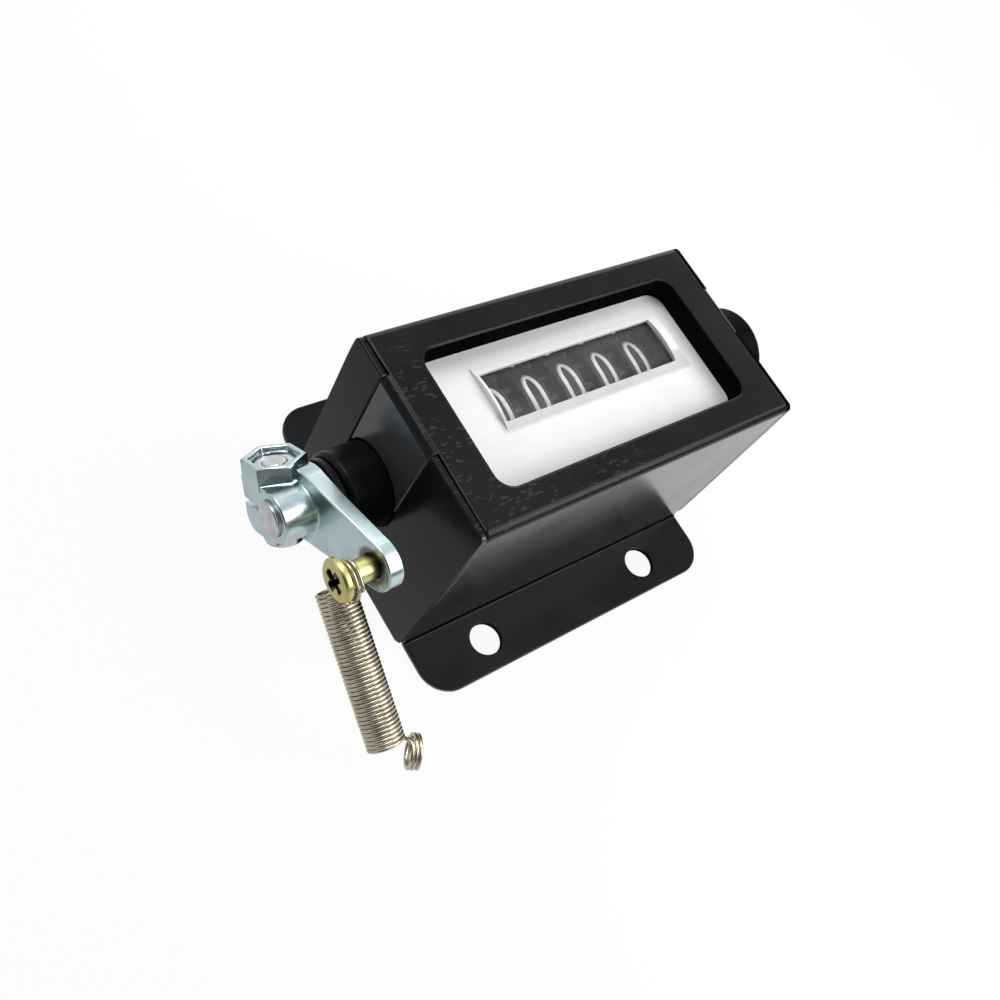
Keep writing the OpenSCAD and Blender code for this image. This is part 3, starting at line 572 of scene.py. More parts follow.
@dataclass(frozen=True)
class DialPlastic(Finish):
    """White dial plastic, with painted shade greying a band along the hood's front slope."""

    name: str = "white_dial_plastic"
    dark: Colour = (0.845, 0.85, 0.862)
    pale: Colour = (0.88, 0.885, 0.895)
    roughness: float = 0.40
    relief: Span = (0.01, 0.4)
    cloud: Span = (7.0, 0.12)
    # Colour of the painted shade along the hood's front slope, and how much of it shows at least and with the
    # cloud.
    thin: Colour = (0.40, 0.415, 0.43)
    hood_shade_least: float = 0.3
    hood_shade_clouds: float = 0.6
    hood_left: Span = (-19.8, -18.6)
    hood_right: Span = (25.8, 24.2)
    slope_front: Span = (-3.5, -2.5)
    slope_back: Span = (1.0, 0.0)

    def surface(self, g: Graph, cloud: Wire, grain: Wire) -> tuple[Wire, Wire]:
        """Colour and height of the dial, with painted shade in a soft grey band before the slot.

        Args:
            g: Graph to add to.
            cloud: Slow noise.
            grain: Fine noise.

        Returns:
            A wire for each.
        """
        colour, height = super().surface(g, cloud, grain)
        x, y, _ = g.axes()
        # Painted shade: a soft grey band along the hood's front slope, between the hood's ends.
        row = x.step(*self.hood_left) * x.step(*self.hood_right)
        band = y.step(*self.slope_front) * y.step(*self.slope_back) * row
        return g.blend(band * (self.hood_shade_least + cloud * self.hood_shade_clouds), colour, self.thin), height


@dataclass(frozen=True)
class ClearPane:
    """Thin clear acrylic, mostly see-through, with faint smears in its gloss."""

    name: str = "clear_acrylic"
    tint: Colour = (0.72, 0.76, 0.78)
    alpha: float = 0.015
    roughness: float = 0.05
    smear_mm: float = 5.0
    smear_stretch: Point = (0.4, 1.0, 1.0)
    smear_alpha: float = 0.06
    smear_gloss: float = 0.08

    def make(self) -> Material:
        """Builds the material.

        Returns:
            The finished material.
        """
        g = Graph(self.name)
        smear = g.noise(self.smear_mm, detail=3.0, stretch=self.smear_stretch)
        rough = self.roughness + smear * self.smear_gloss
        return g.close(Base_Color=self.tint, Roughness=rough, Alpha=self.alpha + smear * self.smear_alpha)


def link(name: str, data: bpy.types.ID) -> Piece:
    """Makes an object and links it to the scene.

    Args:
        name: Name of the object.
        data: A mesh, a lamp or a camera.

    Returns:
        The linked object.
    """
    made = bpy.data.objects.new(name, data)
    bpy.context.scene.collection.objects.link(made)
    return made


def put_mesh(name: str, verts: Array, faces: Array, finish: Material) -> Piece:
    """Makes a smooth-shaded piece from arrays.

    Args:
        name: Name of the piece.
        verts: Points in millimetres, along the array's last axis.
        faces: Vertex numbers, one quad in each row.
        finish: Material of the piece.

    Returns:
        The linked object, at the origin.
    """
    mesh = bpy.data.meshes.new(name)
    mesh.from_pydata((verts.reshape(-1, 3) * MM).tolist(), [], faces.tolist())
    mesh.polygons.foreach_set("use_smooth", np.ones(len(mesh.polygons), dtype=bool))
    mesh.update()
    mesh.materials.append(finish)
    return link(name, mesh)


def attach(made: Piece, body: str, slot: Slot, node: str = "") -> None:
    """Lets a piece ride on its body, and stand in for a CAD node if one is named.

    Args:
        made: The piece.
        body: Body that carries it.
        slot: Not used.
        node: CAD node that it replaces, or nothing.
    """
    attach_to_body(made, body)
    if node:
        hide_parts(node)
    log.info("built %s", made.name)


def grid_faces(rows: int, columns: int) -> Array:
    """Quads of a grid of points, whose last column joins the first.

    Args:
        rows: Number of rows.
        columns: Number of points in a row.

    Returns:
        Vertex numbers, one quad in each row.
    """
    here = np.arange(rows * columns).reshape(rows, columns)
    beside = np.roll(here, -1, axis=1)
    return np.stack([here[:-1], beside[:-1], beside[1:], here[1:]], axis=-1).reshape(-1, 4)


def unit(vectors: Array) -> Array:
    """Vectors of length 1 in the same directions."""
    return vectors / np.maximum(np.linalg.norm(vectors, axis=-1, keepdims=True), TINY)


def between(count: int) -> Array:
    """A column of even steps strictly between 0 and 1."""
    return np.linspace(0, 1, count + 2)[1:-1, None]


def hermite(p: Array, dp: Array, q: Array, dq: Array, count: int) -> Array:
    """A bridge on the cubic that leaves p along dp and reaches q along dq.

    Args:
        p: First end.
        dp: Direction and pull at the first end.
        q: Last end.
        dq: Direction and pull at the last end.
        count: Number of points.

    Returns:
        Points strictly between the ends.
    """
    u = between(count)
    v = 1 - u
    return v * v * (1 + 2 * u) * p + u * u * (1 + 2 * v) * q + u * v * v * dp - u * u * v * dq


def helix(start: Array, run: Array, first: Array, second: Array, angle: Array) -> Array:
    """Points start + t * run + cos(angle) * first + sin(angle) * second, with t from 0 to 1."""
    t = np.linspace(0, 1, len(angle))[:, None]
    return start + t * run + np.cos(angle)[:, None] * first + np.sin(angle)[:, None] * second


@dataclass
class SweptWire:
    """Round wire along a path, with a dome on both ends.

    Each ring is the path's point plus a radius times (cos a * n + sin a * b), where n is the hint made square
    to the path's tangent and b is the tangent's cross product with n. Over a dome the radius is the wire's
    times sqrt(1 - t squared), and a small flat cap closes it. Snug is a last factor on every ring's radius.
    """

    path: Array
    hints: Array
    radius: float
    sides: int = 12
    snug: float = 1.0
    dome_rings: int = 6
    dome_reach: float = 0.999

    def domed(self) -> tuple[Array, Array, Array]:
        """Adds the domes to the path.

        Returns:
            The longer path, a hint for each of its points and the radius there.
        """
        t = np.linspace(0, self.dome_reach, self.dome_rings + 1)[1:]
        head = self.path[0] + self.radius * t[::-1, None] * unit(self.path[0] - self.path[1])
        tail = self.path[-1] + self.radius * t[:, None] * unit(self.path[-1] - self.path[-2])
        dome = self.radius * np.sqrt(1 - t**2)
        first, last = (np.repeat(self.hints[[end]], self.dome_rings, 0) for end in (0, -1))
        radius = np.concatenate([dome[::-1], np.full(len(self.path), self.radius), dome])
        return np.vstack([head, self.path, tail]), np.vstack([first, self.hints, last]), radius

    def build(self, name: str, finish: Material) -> Piece:
        """Makes the wire's skin.

        Args:
            name: Name of the piece.
            finish: Material of the wire.

        Returns:
            The linked object.
        """
        path, hints, radius = self.domed()
        tangent = unit(np.gradient(path, axis=0))
        normal = unit(hints - (hints * tangent).sum(1, keepdims=True) * tangent)
        binormal = np.cross(tangent, normal)
        angle = np.linspace(0, 2 * np.pi, self.sides, endpoint=False)[:, None]
        ring = np.cos(angle) * normal[:, None] + np.sin(angle) * binormal[:, None]
        step = 2 * np.arange((self.sides - 2) // 2)
        cap = np.stack([np.zeros_like(step), step + 1, step + 2, step + 3], 1)
        far_cap = cap + (len(path) - 1) * self.sides
        faces = np.vstack([cap[:, ::-1], grid_faces(len(path), self.sides), far_cap])
        return put_mesh(name, path[:, None] + self.snug * radius[:, None, None] * ring, faces, finish)


def middle(edge: Edge) -> Vector:
    """Middle point of an edge."""
    return (edge.verts[0].co + edge.verts[1].co) / 2


def fold(edge: Edge) -> float:
    """Angle between the two faces of an edge in degrees, or 0 where it has not two."""
    return math.degrees(edge.calc_face_angle(0.0)) if len(edge.link_faces) == 2 else 0.0


@dataclass
class RoundedCopy:
    """A CAD node's own shape with its sharp edges broken, which stands in for the node.

    A loose copy rounds each edge by its full width and leaves out edges that have no room for that, while a
    plain copy narrows all of its edges until they fit.
    """

    same_point: ClassVar[float] = 2e-6
    same_corner: ClassVar[float] = 1e-6
    flat_angle: ClassVar[float] = 0.002
    straight: ClassVar[float] = 0.8
    room_passes: ClassVar[int] = 2
    plain_room: ClassVar[float] = 1.1
    corner_room: ClassVar[float] = 2.3

    node: str
    body: str
    slot: Slot
    edge_mm: float
    segments: int = 3
    sharp: float = 32.0
    wide: Callable[[Array], Array] | None = None
    lined: Callable[[Array, Array], Array] | None = None
    loose: bool = False
    round_from: float = 0.0
    round_to: float = 150.0
    merge_mm: float = 0.0
    cusp_mm: float = 0.0
    work: bmesh.types.BMesh = field(init=False)
    widths: dict[Edge, float] = field(init=False)

    def turns(self, edge: Edge, vert: Vert) -> bool:
        """Whether the run of rounded edges turns a corner, or meets another run, at one end of an edge.

        Args:
            edge: The edge.
            vert: The end.

        Returns:
            True at a corner.
        """
        run = [other for other in vert.link_edges if other in self.widths and other is not edge]
        onward = (vert.co - edge.other_vert(vert).co).normalized()
        ways = [(other.other_vert(vert).co - vert.co).normalized() for other in run]
        return len(run) > 1 or any(onward.dot(way) < self.straight for way in ways)

    def keep_off_cusps(self) -> None:
        """Leaves out the edges too near a knife edge, where two faces all but touch."""
        folded = [edge for edge in self.work.edges if fold(edge) >= self.round_to]
        cusps = [vert.co for edge in folded for vert in edge.verts]
        self.widths = {edge: width for edge, width in self.widths.items()
                       if all((middle(edge) - cusp).length > self.cusp_mm * MM for cusp in cusps)}

    def keep_room(self) -> None:
        """Leaves out the edges whose rounding would run into the next one.

        A plain edge between two rounded ones must be longer than both widths together. A short rounded edge
        stays only where it is part of a smooth run, as on an arc.
        """
        reach: dict[Vert, float] = {}
        for edge, width in self.widths.items():
            for vert in edge.verts:
                reach[vert] = max(reach.get(vert, 0.0), width)
        tight: set[Edge] = set()
        for edge in self.work.edges:
            length = edge.calc_length()
            if edge not in self.widths:
                if length < self.plain_room * sum(reach.get(vert, 0.0) for vert in edge.verts):
                    tight.update(other for vert in edge.verts for other in vert.link_edges)
            elif length < self.corner_room * self.widths[edge]:
                if any(self.turns(edge, vert) for vert in edge.verts):
                    tight.add(edge)
        self.widths = {edge: width for edge, width in self.widths.items() if edge not in tight}

    def merge(self) -> None:
        """Joins the points that coincide, and the triangles of each flat face."""
        bmesh.ops.remove_doubles(self.work, verts=self.work.verts, dist=self.same_point)
        if self.merge_mm:
            bmesh.ops.dissolve_degenerate(self.work, dist=self.merge_mm * MM, edges=self.work.edges)
        flat = [edge for edge in self.work.edges
                if len(edge.link_faces) == 2 and edge.calc_face_angle(math.pi) < self.flat_angle]
        bmesh.ops.dissolve_edges(self.work, edges=flat, use_verts=False, use_face_split=False)

    def mark_edges(self) -> None:
        """Marks the sharp edges, and writes the share of the full width at each edge to round."""
        weight = self.work.edges.layers.float.new("bevel_weight_edge")
        mids = np.array([middle(edge) for edge in self.work.edges]) / MM
        share = np.ones(len(mids)) if self.wide is None else self.wide(mids)
        least, most = max(self.sharp, self.round_from), self.round_to if self.loose else math.inf
        for edge, part in zip(self.work.edges, share):
            angle = fold(edge)
            edge.smooth = angle <= self.sharp
            if part > 0 and least < angle < most:
                self.widths[edge] = float(part) * self.edge_mm * MM
        if self.loose:
            self.keep_off_cusps()
            for _ in range(self.room_passes):
                self.keep_room()
        for edge, width in self.widths.items():
            edge[weight] = width / (self.edge_mm * MM)

    def mark_faces(self) -> None:
        """Shades the faces smooth and numbers their materials."""
        numbers = np.zeros(len(self.work.faces))
        if self.lined is not None:
            centres = np.array([face.calc_center_median() for face in self.work.faces]) / MM
            numbers = self.lined(centres, np.array([face.normal for face in self.work.faces]))
        for face, number in zip(self.work.faces, numbers):
            face.smooth = True
            face.material_index = int(number)

    def round_off(self, made: Piece) -> None:
        """Adds the modifiers that round the marked edges.

        Args:
            made: The piece.
        """
        bevel = made.modifiers.new("edges", "BEVEL")
        bevel.limit_method = "WEIGHT"
        bevel.width = self.edge_mm * MM
        bevel.segments = self.segments
        bevel.use_clamp_overlap = not self.loose
        bevel.loop_slide = not self.loose
        bevel.harden_normals = not self.loose
        if self.loose:
            made.modifiers.new("weld", "WELD").merge_threshold = self.same_corner
            made.modifiers.new("shade", "WEIGHTED_NORMAL").keep_sharp = True

    def build(self, finishes: Finishes, *linings: Material) -> None:
        """Copies the node's mesh, rounds it and lets it stand in for the node.

        Args:
            finishes: Material for each slot.
            *linings: Materials of the faces that are numbered 1, 2 and so on.
        """
        mesh = frame["nodes"][self.node].data.copy()
        mesh.name = f"{self.node}_skin"
        self.work = bmesh.new()
        self.widths = {}
        self.work.from_mesh(mesh)
        self.merge()
        self.mark_edges()
        self.mark_faces()
        mesh.materials.clear()
        for finish in (finishes[self.slot], *linings):
            mesh.materials.append(finish)
        self.work.to_mesh(mesh)
        self.work.free()
        made = link(mesh.name, mesh)
        self.round_off(made)
        attach(made, self.body, self.slot, self.node)


@dataclass
class FigureSet:
    """Plain figures 0 to 9, drawn as strokes in a box of half width 1 and half height 1."""

    half_w: float = 1.28
    half_h: float = 3.75
    stroke: float = 0.88
    lift: float = -0.45
    others_h: float = 0.87
    others_up: float = 0.065
    arc_points: int = 56
    arc_least: int = 8
    line_steps: int = 6

    def arc(self, centre: Span, size: Span, start: float, end: float, power: float = 2.2) -> Array:
        """Part of a rounded box: a superellipse, whose sine and cosine are raised to 2 / power.

        Args:
            centre: Middle of the curve.
            size: Half width and half height.
            start: First angle in degrees, from +x towards +y.
            end: Last angle in degrees.
            power: 2 for an ellipse, more for a squarer curve.

        Returns:
            Points on the curve.
        """
        count = max(self.arc_least, int(abs(end - start) / 360 * self.arc_points))
        angle = np.radians(np.linspace(start, end, count))
        circle = np.stack([np.cos(angle), np.sin(angle)], 1)
        return np.asarray(centre) + np.sign(circle) * np.abs(circle) ** (2 / power) * np.asarray(size)

    def line(self, *corners: Span) -> Array:
        """Straight strokes through corners, each cut into a few steps.

        Args:
            *corners: Points in the unit box.

        Returns:
            Points along the strokes.
        """
        points = np.asarray(corners, dtype=float)
        places = np.arange(len(points))
        t = np.linspace(0, places[-1], self.line_steps * places[-1] + 1)
        return np.stack([np.interp(t, places, points[:, axis]) for axis in (0, 1)], 1)

    def strokes(self, figure: int) -> list[Array]:
        """The strokes of one figure.

        Args:
            figure: 0 to 9.

        Returns:
            Lists of points in the unit box.
        """
        arc, line = self.arc, self.line
        six = [arc((0.25, 0.0), (1.25, 1.0), 72, 180), arc((0, -0.42), (1, 0.58), 180, 540)]
        drawn = [
            [[arc((0, 0.1), (1, 0.9), 0, 180, 2.0), line((-1, 0.1), (-1, -0.66))[1:-1],
              arc((0, -0.66), (1, 0.34), 180, 360, 2.0), line((1, -0.66), (1, 0.1))[1:]]],
            [[line((-0.5, 0.62), (0.1, 1), (0.1, -0.5))]],
            [[arc((0, 0.5), (0.95, 0.5), 170, -40), line((-0.9, -1), (0.95, -1))]],
            [[arc((0, 0.5), (0.85, 0.5), 150, -80), arc((0, -0.48), (0.95, 0.52), 80, -150)]],
            [[line((0.45, -1), (0.45, 1), (-0.95, -0.4), (1, -0.4))]],
            [[line((0.8, 1), (-0.7, 1), (-0.8, 0.12)), arc((0, -0.4), (0.95, 0.6), 140, -150)]],
            [six],
            [[line((-0.95, 1), (0.95, 1), (-0.25, -1))]],
            [[arc((0, 0.5), (0.85, 0.5), -90, 270)], [arc((0, -0.48), (1, 0.52), 90, 450)]],
            [[-curve for curve in six]],
        ]
        strokes = [np.vstack(curves) for curves in drawn[figure]]
        if figure == 0:
            return strokes
        return [stroke * (1.0, self.others_h) + (0.0, self.others_up) for stroke in strokes]

    def ribbon(self, points: Array) -> tuple[Array, Array]:
        """The two edges of a stroke: its centre line moved half a stroke along its normal, each way.

        Args:
            points: Centre line in the unit box.

        Returns:
            Points of the left edge and of the right edge, in millimetres.
        """
        flat = points * (self.half_w, self.half_h) + (0.0, self.lift)
        along = unit(np.gradient(flat, axis=0))
        normal = np.stack([-along[:, 1], along[:, 0]], 1) * self.stroke / 2
        return flat + normal, flat - normal


@dataclass
class NumberWheels:
    """Printed figures on the rims of the five number wheels."""

    wheels: int = 5
    radius: float = 13.5
    first_x: float = -14.6
    band_offset: float = -0.25
    print_mm: float = 0.05
    sunk_mm: float = 0.03
    figure_turn: float = 36.0
    figures: FigureSet = field(default_factory=FigureSet)

    def figure_skin(self, points: Array, x: float, turn: float) -> Array:
        """A stroke laid on a wheel's rim.

        The place across the rim is x plus the stroke's own x. The place round the rim is the angle
        90 degrees + turn - y / radius. The four corners of the stroke's section are its two edges, just under
        the rim and just above it.

        Args:
            points: Centre line in the unit box.
            x: Middle of the wheel, in millimetres.
            turn: Angle of the figure round the wheel, in degrees.

        Returns:
            Points in millimetres, n by 4 by 3.
        """
        left, right = self.figures.ribbon(points)
        flat = np.stack([left, right, right, left], 1)
        radius = self.radius + np.repeat([-self.sunk_mm, self.print_mm], 2)
        angle = np.radians(90 + turn) - flat[..., 1] / self.radius
        y = SHAFT_AXIS[0] + radius * np.cos(angle)
        z = SHAFT_AXIS[1] + radius * np.sin(angle)
        return np.stack([x + flat[..., 0], y, z], -1)

    def build(self, ink: Material) -> None:
        """Prints the ten figures on each wheel.

        Args:
            ink: White ink of the figures.
        """
        ends = np.array([[0, 1, 2, 3], [3, 2, 1, 0]])
        for wheel in range(self.wheels):
            x = self.first_x + WHEEL_PITCH * wheel + self.band_offset
            skins = [self.figure_skin(points, x, -self.figure_turn * figure)
                     for figure in range(10) for points in self.figures.strokes(figure)]
            faces, count = [], 0
            for skin in skins:
                sides = grid_faces(len(skin), 4)[:, [0, 3, 2, 1]]
                faces += [sides + count, ends + [[count], [count + 4 * (len(skin) - 1)]]]
                count += 4 * len(skin)
            made = put_mesh(f"figures_{wheel + 1}", np.vstack(skins), np.vstack(faces), ink)
            attach(made, f"figure_wheel_{wheel + 1}", Slot.DIAL)


@dataclass
class PullSpring:
    """Close-wound tension spring that hangs from the brass screw, with a hook and an eye of double loops."""

    wire: float = 0.65
    coil_d: float = 6.5
    coil_l: float = 26.2
    turns: float = 37.75
    slope: float = 26.65
    coil_top: Point = (-51.75, -11.62, 23.77)
    hook_x: Span = (-52.55, -51.1)
    hook_r: float = 2.4
    hook_s: float = 1.4
    hook_slope: float = 35.0
    hook_turns: float = 1.8
    hook_points: int = 25
    eye_r: float = 2.7
    eye_turns: float = 2.25
    eye_run: float = 1.5
    eye_start: float = 60.0
    eye_axis: Point = (0.832, -0.548, 0.031)
    eye_back: float = 0.2
    eye_out: float = 0.3
    hook_pull: float = 6.0
    coil_pull: float = 5.0
    eye_pull: float = 3.0
    hook_bridge: int = 14
    eye_bridge: int = 8
    rings: int = 28

    def hook(self) -> Array:
        """Centre line of the hook's loops.

        One loop is a half circle over the screw, a straight side, a half circle under it and a straight side
        back. The wire follows it at an even pace, and moves along X as it goes.

        Returns:
            Points in millimetres.
        """
        half = np.linspace(0, np.pi, self.hook_points)
        over = np.stack([np.cos(half), np.sin(half)], 1) * self.hook_r
        loop = np.vstack([over, -over - [0.0, self.hook_s], over[:1]])
        pace = np.concatenate([[0.0], np.cumsum(np.linalg.norm(np.diff(loop, axis=0), axis=1))])
        t = np.linspace(0.5 - self.hook_turns, 0.5, int(self.hook_turns * 2 * self.rings))
        wide, tall = (np.interp(t % 1, pace / pace[-1], loop[:, axis]) for axis in (0, 1))
        lean = math.radians(self.hook_slope)
        y = SCREW_AXIS[0] + wide * math.sin(lean) + tall * math.cos(lean)
        z = SCREW_AXIS[1] - wide * math.cos(lean) + tall * math.sin(lean)
        return np.stack([np.linspace(*self.hook_x, len(t)), y, z], 1)

    def path(self) -> tuple[Array, Array]:
        """Centre line of the wire.

        The hook comes first, then the coil, a helix along the slope, and the eye, a circle about its own axis
        beside the coil's free end that moves along that axis as it turns; cubics bridge them.

        Returns:
            Points in millimetres, and a direction for each that is never along the wire.
        """
        slope = math.radians(self.slope)
        along = np.array([0.0, -math.cos(slope), -math.sin(slope)])
        across = np.array([0.0, -math.sin(slope), math.cos(slope)])
        out = np.array([1.0, 0.0, 0.0])
        radius = (self.coil_d - self.wire) / 2
        hook = self.hook()
        top = np.array(self.coil_top)
        angle = np.linspace(0, -2 * np.pi * self.turns, int(self.turns * self.rings) + 1)
        coil = helix(top, self.coil_l * along, radius * across, radius * out, angle)
        axis = unit(np.array(self.eye_axis))
        far = unit(along - np.dot(along, axis) * axis)
        side = np.cross(far, axis)
        centre = top + (self.coil_l + self.eye_r - self.eye_back) * along + (radius + self.eye_out) * out
        start = math.radians(self.eye_start)
        angle = start + np.linspace(0, 2 * np.pi * self.eye_turns, int(self.eye_turns * self.rings) + 1)
        eye = helix(centre, self.eye_run * axis, -self.eye_r * far, self.eye_r * side, angle)
        heading = math.sin(start) * far + math.cos(start) * side
        down = self.hook_pull * unit(hook[-1] - hook[-2])
        upper = hermite(hook[-1], down, coil[0], -self.coil_pull * out, self.hook_bridge)
        lower = hermite(coil[-1], self.eye_pull * across, eye[0], self.eye_pull * heading, self.eye_bridge)
        turn, back = between(self.hook_bridge), between(self.eye_bridge)
        hints = np.vstack([
            np.repeat(out[None], len(hook), 0), (1 - turn) * out + turn * along,
            np.repeat(along[None], len(coil), 0), (1 - back) * along + back * axis,
            np.repeat(axis[None], len(eye), 0),
        ])
        return np.vstack([hook, upper, coil, lower, eye]), hints

    def build(self, finish: Material) -> None:
        """Sweeps the wire and lets it stand in for the CAD spring."""
        made = SweptWire(*self.path(), self.wire / 2).build("pull_spring_wire", finish)
        attach(made, "pull_spring", Slot.SPRING, "tension_spring")


@dataclass
class ReturnSpring:
    """Small torsion spring round the drive sleeve, inside the housing."""

    wire: float = 0.8
    snug: float = 0.98
    radius: float = 5.2
    turns: int = 4
    leg: float = 1.0
    bend: float = 1.2
    bend_rings: int = 6
    rings: int = 28
    sides: int = 10

    def build(self, finish: Material) -> None:
        """Sweeps the wire: a helix about the wheel shaft's axis, with a straight leg along X at each end.

        Args:
            finish: Material of the wire.
        """
        low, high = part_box("return_spring")
        x0, x1 = low[0] / MM + self.leg, high[0] / MM - self.leg
        axis = np.array([0.0, *SHAFT_AXIS])
        out, back, up = np.eye(3)
        angle = np.linspace(0, 2 * np.pi * self.turns, self.turns * self.rings + 1)
        coil = helix(axis + x0 * out, (x1 - x0) * out, self.radius * back, self.radius * up, angle)
        first = hermite(coil[0] - self.leg * out, self.bend * out, coil[0], self.bend * up, self.bend_rings)
        last = hermite(coil[-1], self.bend * up, coil[-1] + self.leg * out, self.bend * out, self.bend_rings)
        path = np.vstack([first, coil, last])
        hints = (path - axis) * (0.0, 1.0, 1.0)
        swept = SweptWire(path, hints, self.wire / 2, self.sides, self.snug)
        made = swept.build("return_spring_wire", finish)
        attach(made, "housing", Slot.SPRING, "return_spring")


@dataclass
class Housing:
    """Folded cover, base pan, dial and the bushes that stand out of the ends."""

    body_h: float = 43.0
    body_l: float = 70.0
    window: Span = (56.4, 26.4)
    window_margin: float = 0.3
    fold_z: float = 3.0
    near: float = 0.1
    collar_drop: float = 0.05
    plate_drop: float = 1.6
    cover_r: float = 0.5
    cover_cusp: float = 1.3
    end_share: float = 0.6
    rim_share: float = 0.4
    pan_r: float = 0.28
    leaning: float = 0.3
    rising: float = 0.05
    square: float = 0.9
    plain: tuple[RoundedCopy, ...] = (
        RoundedCopy("dial_plate", "housing", Slot.DIAL, 0.12, segments=2, sharp=25.0),
        RoundedCopy("shaft_bush", "housing", Slot.BUSH, 0.3),
        RoundedCopy("reset_bush", "housing", Slot.BUSH, 0.3),
    )

    def in_window(self, points: Array) -> Array:
        """Whether each point lies within the window's outline, or just on it."""
        return (np.abs(points[:, :2]) < np.array(self.window) / 2 + self.window_margin).all(1)

    def cover_edges(self, mids: Array) -> Array:
        """Share of the full radius at each edge: the window's lip is roundest, then the top's ends.

        Args:
            mids: Middle of each edge, in millimetres.

        Returns:
            A share for each edge.
        """
        high = mids[:, 2] > self.body_h - self.near
        ends = high & (np.abs(mids[:, 0]) > self.body_l / 2 - self.near)
        return np.where(high & self.in_window(mids), 1.0, np.where(ends, self.end_share, self.rim_share))

    def pan_edges(self, mids: Array) -> Array:
        """Share of the full radius at each edge: the end plates are rounded, the floor is not."""
        return np.where(mids[:, 2] > self.fold_z, 1.0, 0.0)

    def cover_linings(self, centres: Array, normals: Array) -> Array:
        """Numbers the cover's faces.

        Args:
            centres: Middle of each face, in millimetres.
            normals: Direction of each face.

        Returns:
            1 on the window's collar, the right end and the folds to the flanges, 2 on the top, the flanges
            and the upper folds, 0 elsewhere.
        """
        up, z = normals[:, 2], centres[:, 2]
        collar = self.in_window(centres) & (np.abs(up) < self.leaning) & (z < self.body_h - self.collar_drop)
        folds = (up > self.rising) & (up < self.square) & (z < self.fold_z)
        return np.where(collar | folds | (normals[:, 0] > self.square), 1, np.where(up > self.rising, 2, 0))

    def pan_linings(self, centres: Array, normals: Array) -> Array:
        """Numbers the pan's faces.

        Args:
            centres: Middle of each face, in millimetres.
            normals: Direction of each face.

        Returns:
            1 on the right plate's top edge, 2 on the flanges and the left plate, 0 elsewhere.
        """
        high = (centres[:, 2] > self.body_h - self.plate_drop) & (normals[:, 2] > self.leaning)
        lip = high & (centres[:, 0] > self.body_l / 2 - self.near)
        thin = (normals[:, 2] > self.square) | (normals[:, 0] < -self.square)
        return np.where(lip, 1, np.where(thin, 2, 0))

    def build(self, finishes: Finishes, matt: Material, thin: Material) -> None:
        """Rounds the housing's pieces and dresses each in the finish of its slot.

        Args:
            finishes: Material for each slot.
            matt: Near-black enamel without gloss, painted shade in the window's collar, on the right end and
                in the folds to the flanges.
            thin: Enamel with less gloss, on the top, the flanges and the left end.
        """
        RoundedCopy("cover", "housing", Slot.BODY, self.cover_r, wide=self.cover_edges,
                    lined=self.cover_linings, loose=True, cusp_mm=self.cover_cusp).build(finishes, matt, thin)
        RoundedCopy("base_pan", "housing", Slot.BODY, self.pan_r, wide=self.pan_edges,
                    lined=self.pan_linings, loose=True).build(finishes, matt, thin)
        for piece in self.plain:
            piece.build(finishes)


@dataclass
class PullLever:
    """Clamp lever with its screws and washer, on the end of the lever shaft."""

    pieces: tuple[RoundedCopy, ...] = (
        RoundedCopy("lever", "lever_arm", Slot.CAST, 0.3, sharp=28.0, loose=True, round_from=60.0,
                    round_to=120.0, merge_mm=0.06),
        RoundedCopy("lever_shaft", "lever_arm", Slot.STEEL, 0.3),
        RoundedCopy("clamp_screw", "lever_arm", Slot.STEEL, 0.3),
        RoundedCopy("clamp_nut", "lever_arm", Slot.STEEL, 0.25, loose=True),
        RoundedCopy("spring_screw", "lever_arm", Slot.BRASS, 0.15, loose=True),
        RoundedCopy("thrust_washer", "lever_arm", Slot.BUSH, 0.25),
    )

    def build(self, finishes: Finishes) -> None:
        """Rounds the lever's pieces and dresses each in the finish of its slot."""
        for piece in self.pieces:
            piece.build(finishes)


@dataclass
class ResetKnob:
    """Round knob on the wheel shaft's right end."""

    edge_mm: float = 0.3

    def build(self, finishes: Finishes) -> None:
        """Rounds the knob's edges and dresses it."""
        RoundedCopy("reset_knob", "reset_shaft", Slot.KNOB, self.edge_mm).build(finishes)


@dataclass(frozen=True)
class SoftBox:
    """A square studio lamp that faces a point on the counter."""

    name: str
    place: Point
    size: float
    power: float
    target: Point = (-5.0, 0.0, 22.0)

    def build(self) -> None:
        """Hangs the lamp, whose -Z looks at the target."""
        lamp = bpy.data.lights.new(self.name, "AREA")
        lamp.shape = "SQUARE"
        lamp.size = self.size * MM
        lamp.energy = self.power
        place = Vector(self.place) * MM
        turn = (Vector(self.target) * MM - place).to_track_quat("-Z", "Y").to_matrix().to_4x4()
        link(self.name, lamp).matrix_world = Matrix.Translation(place) @ turn


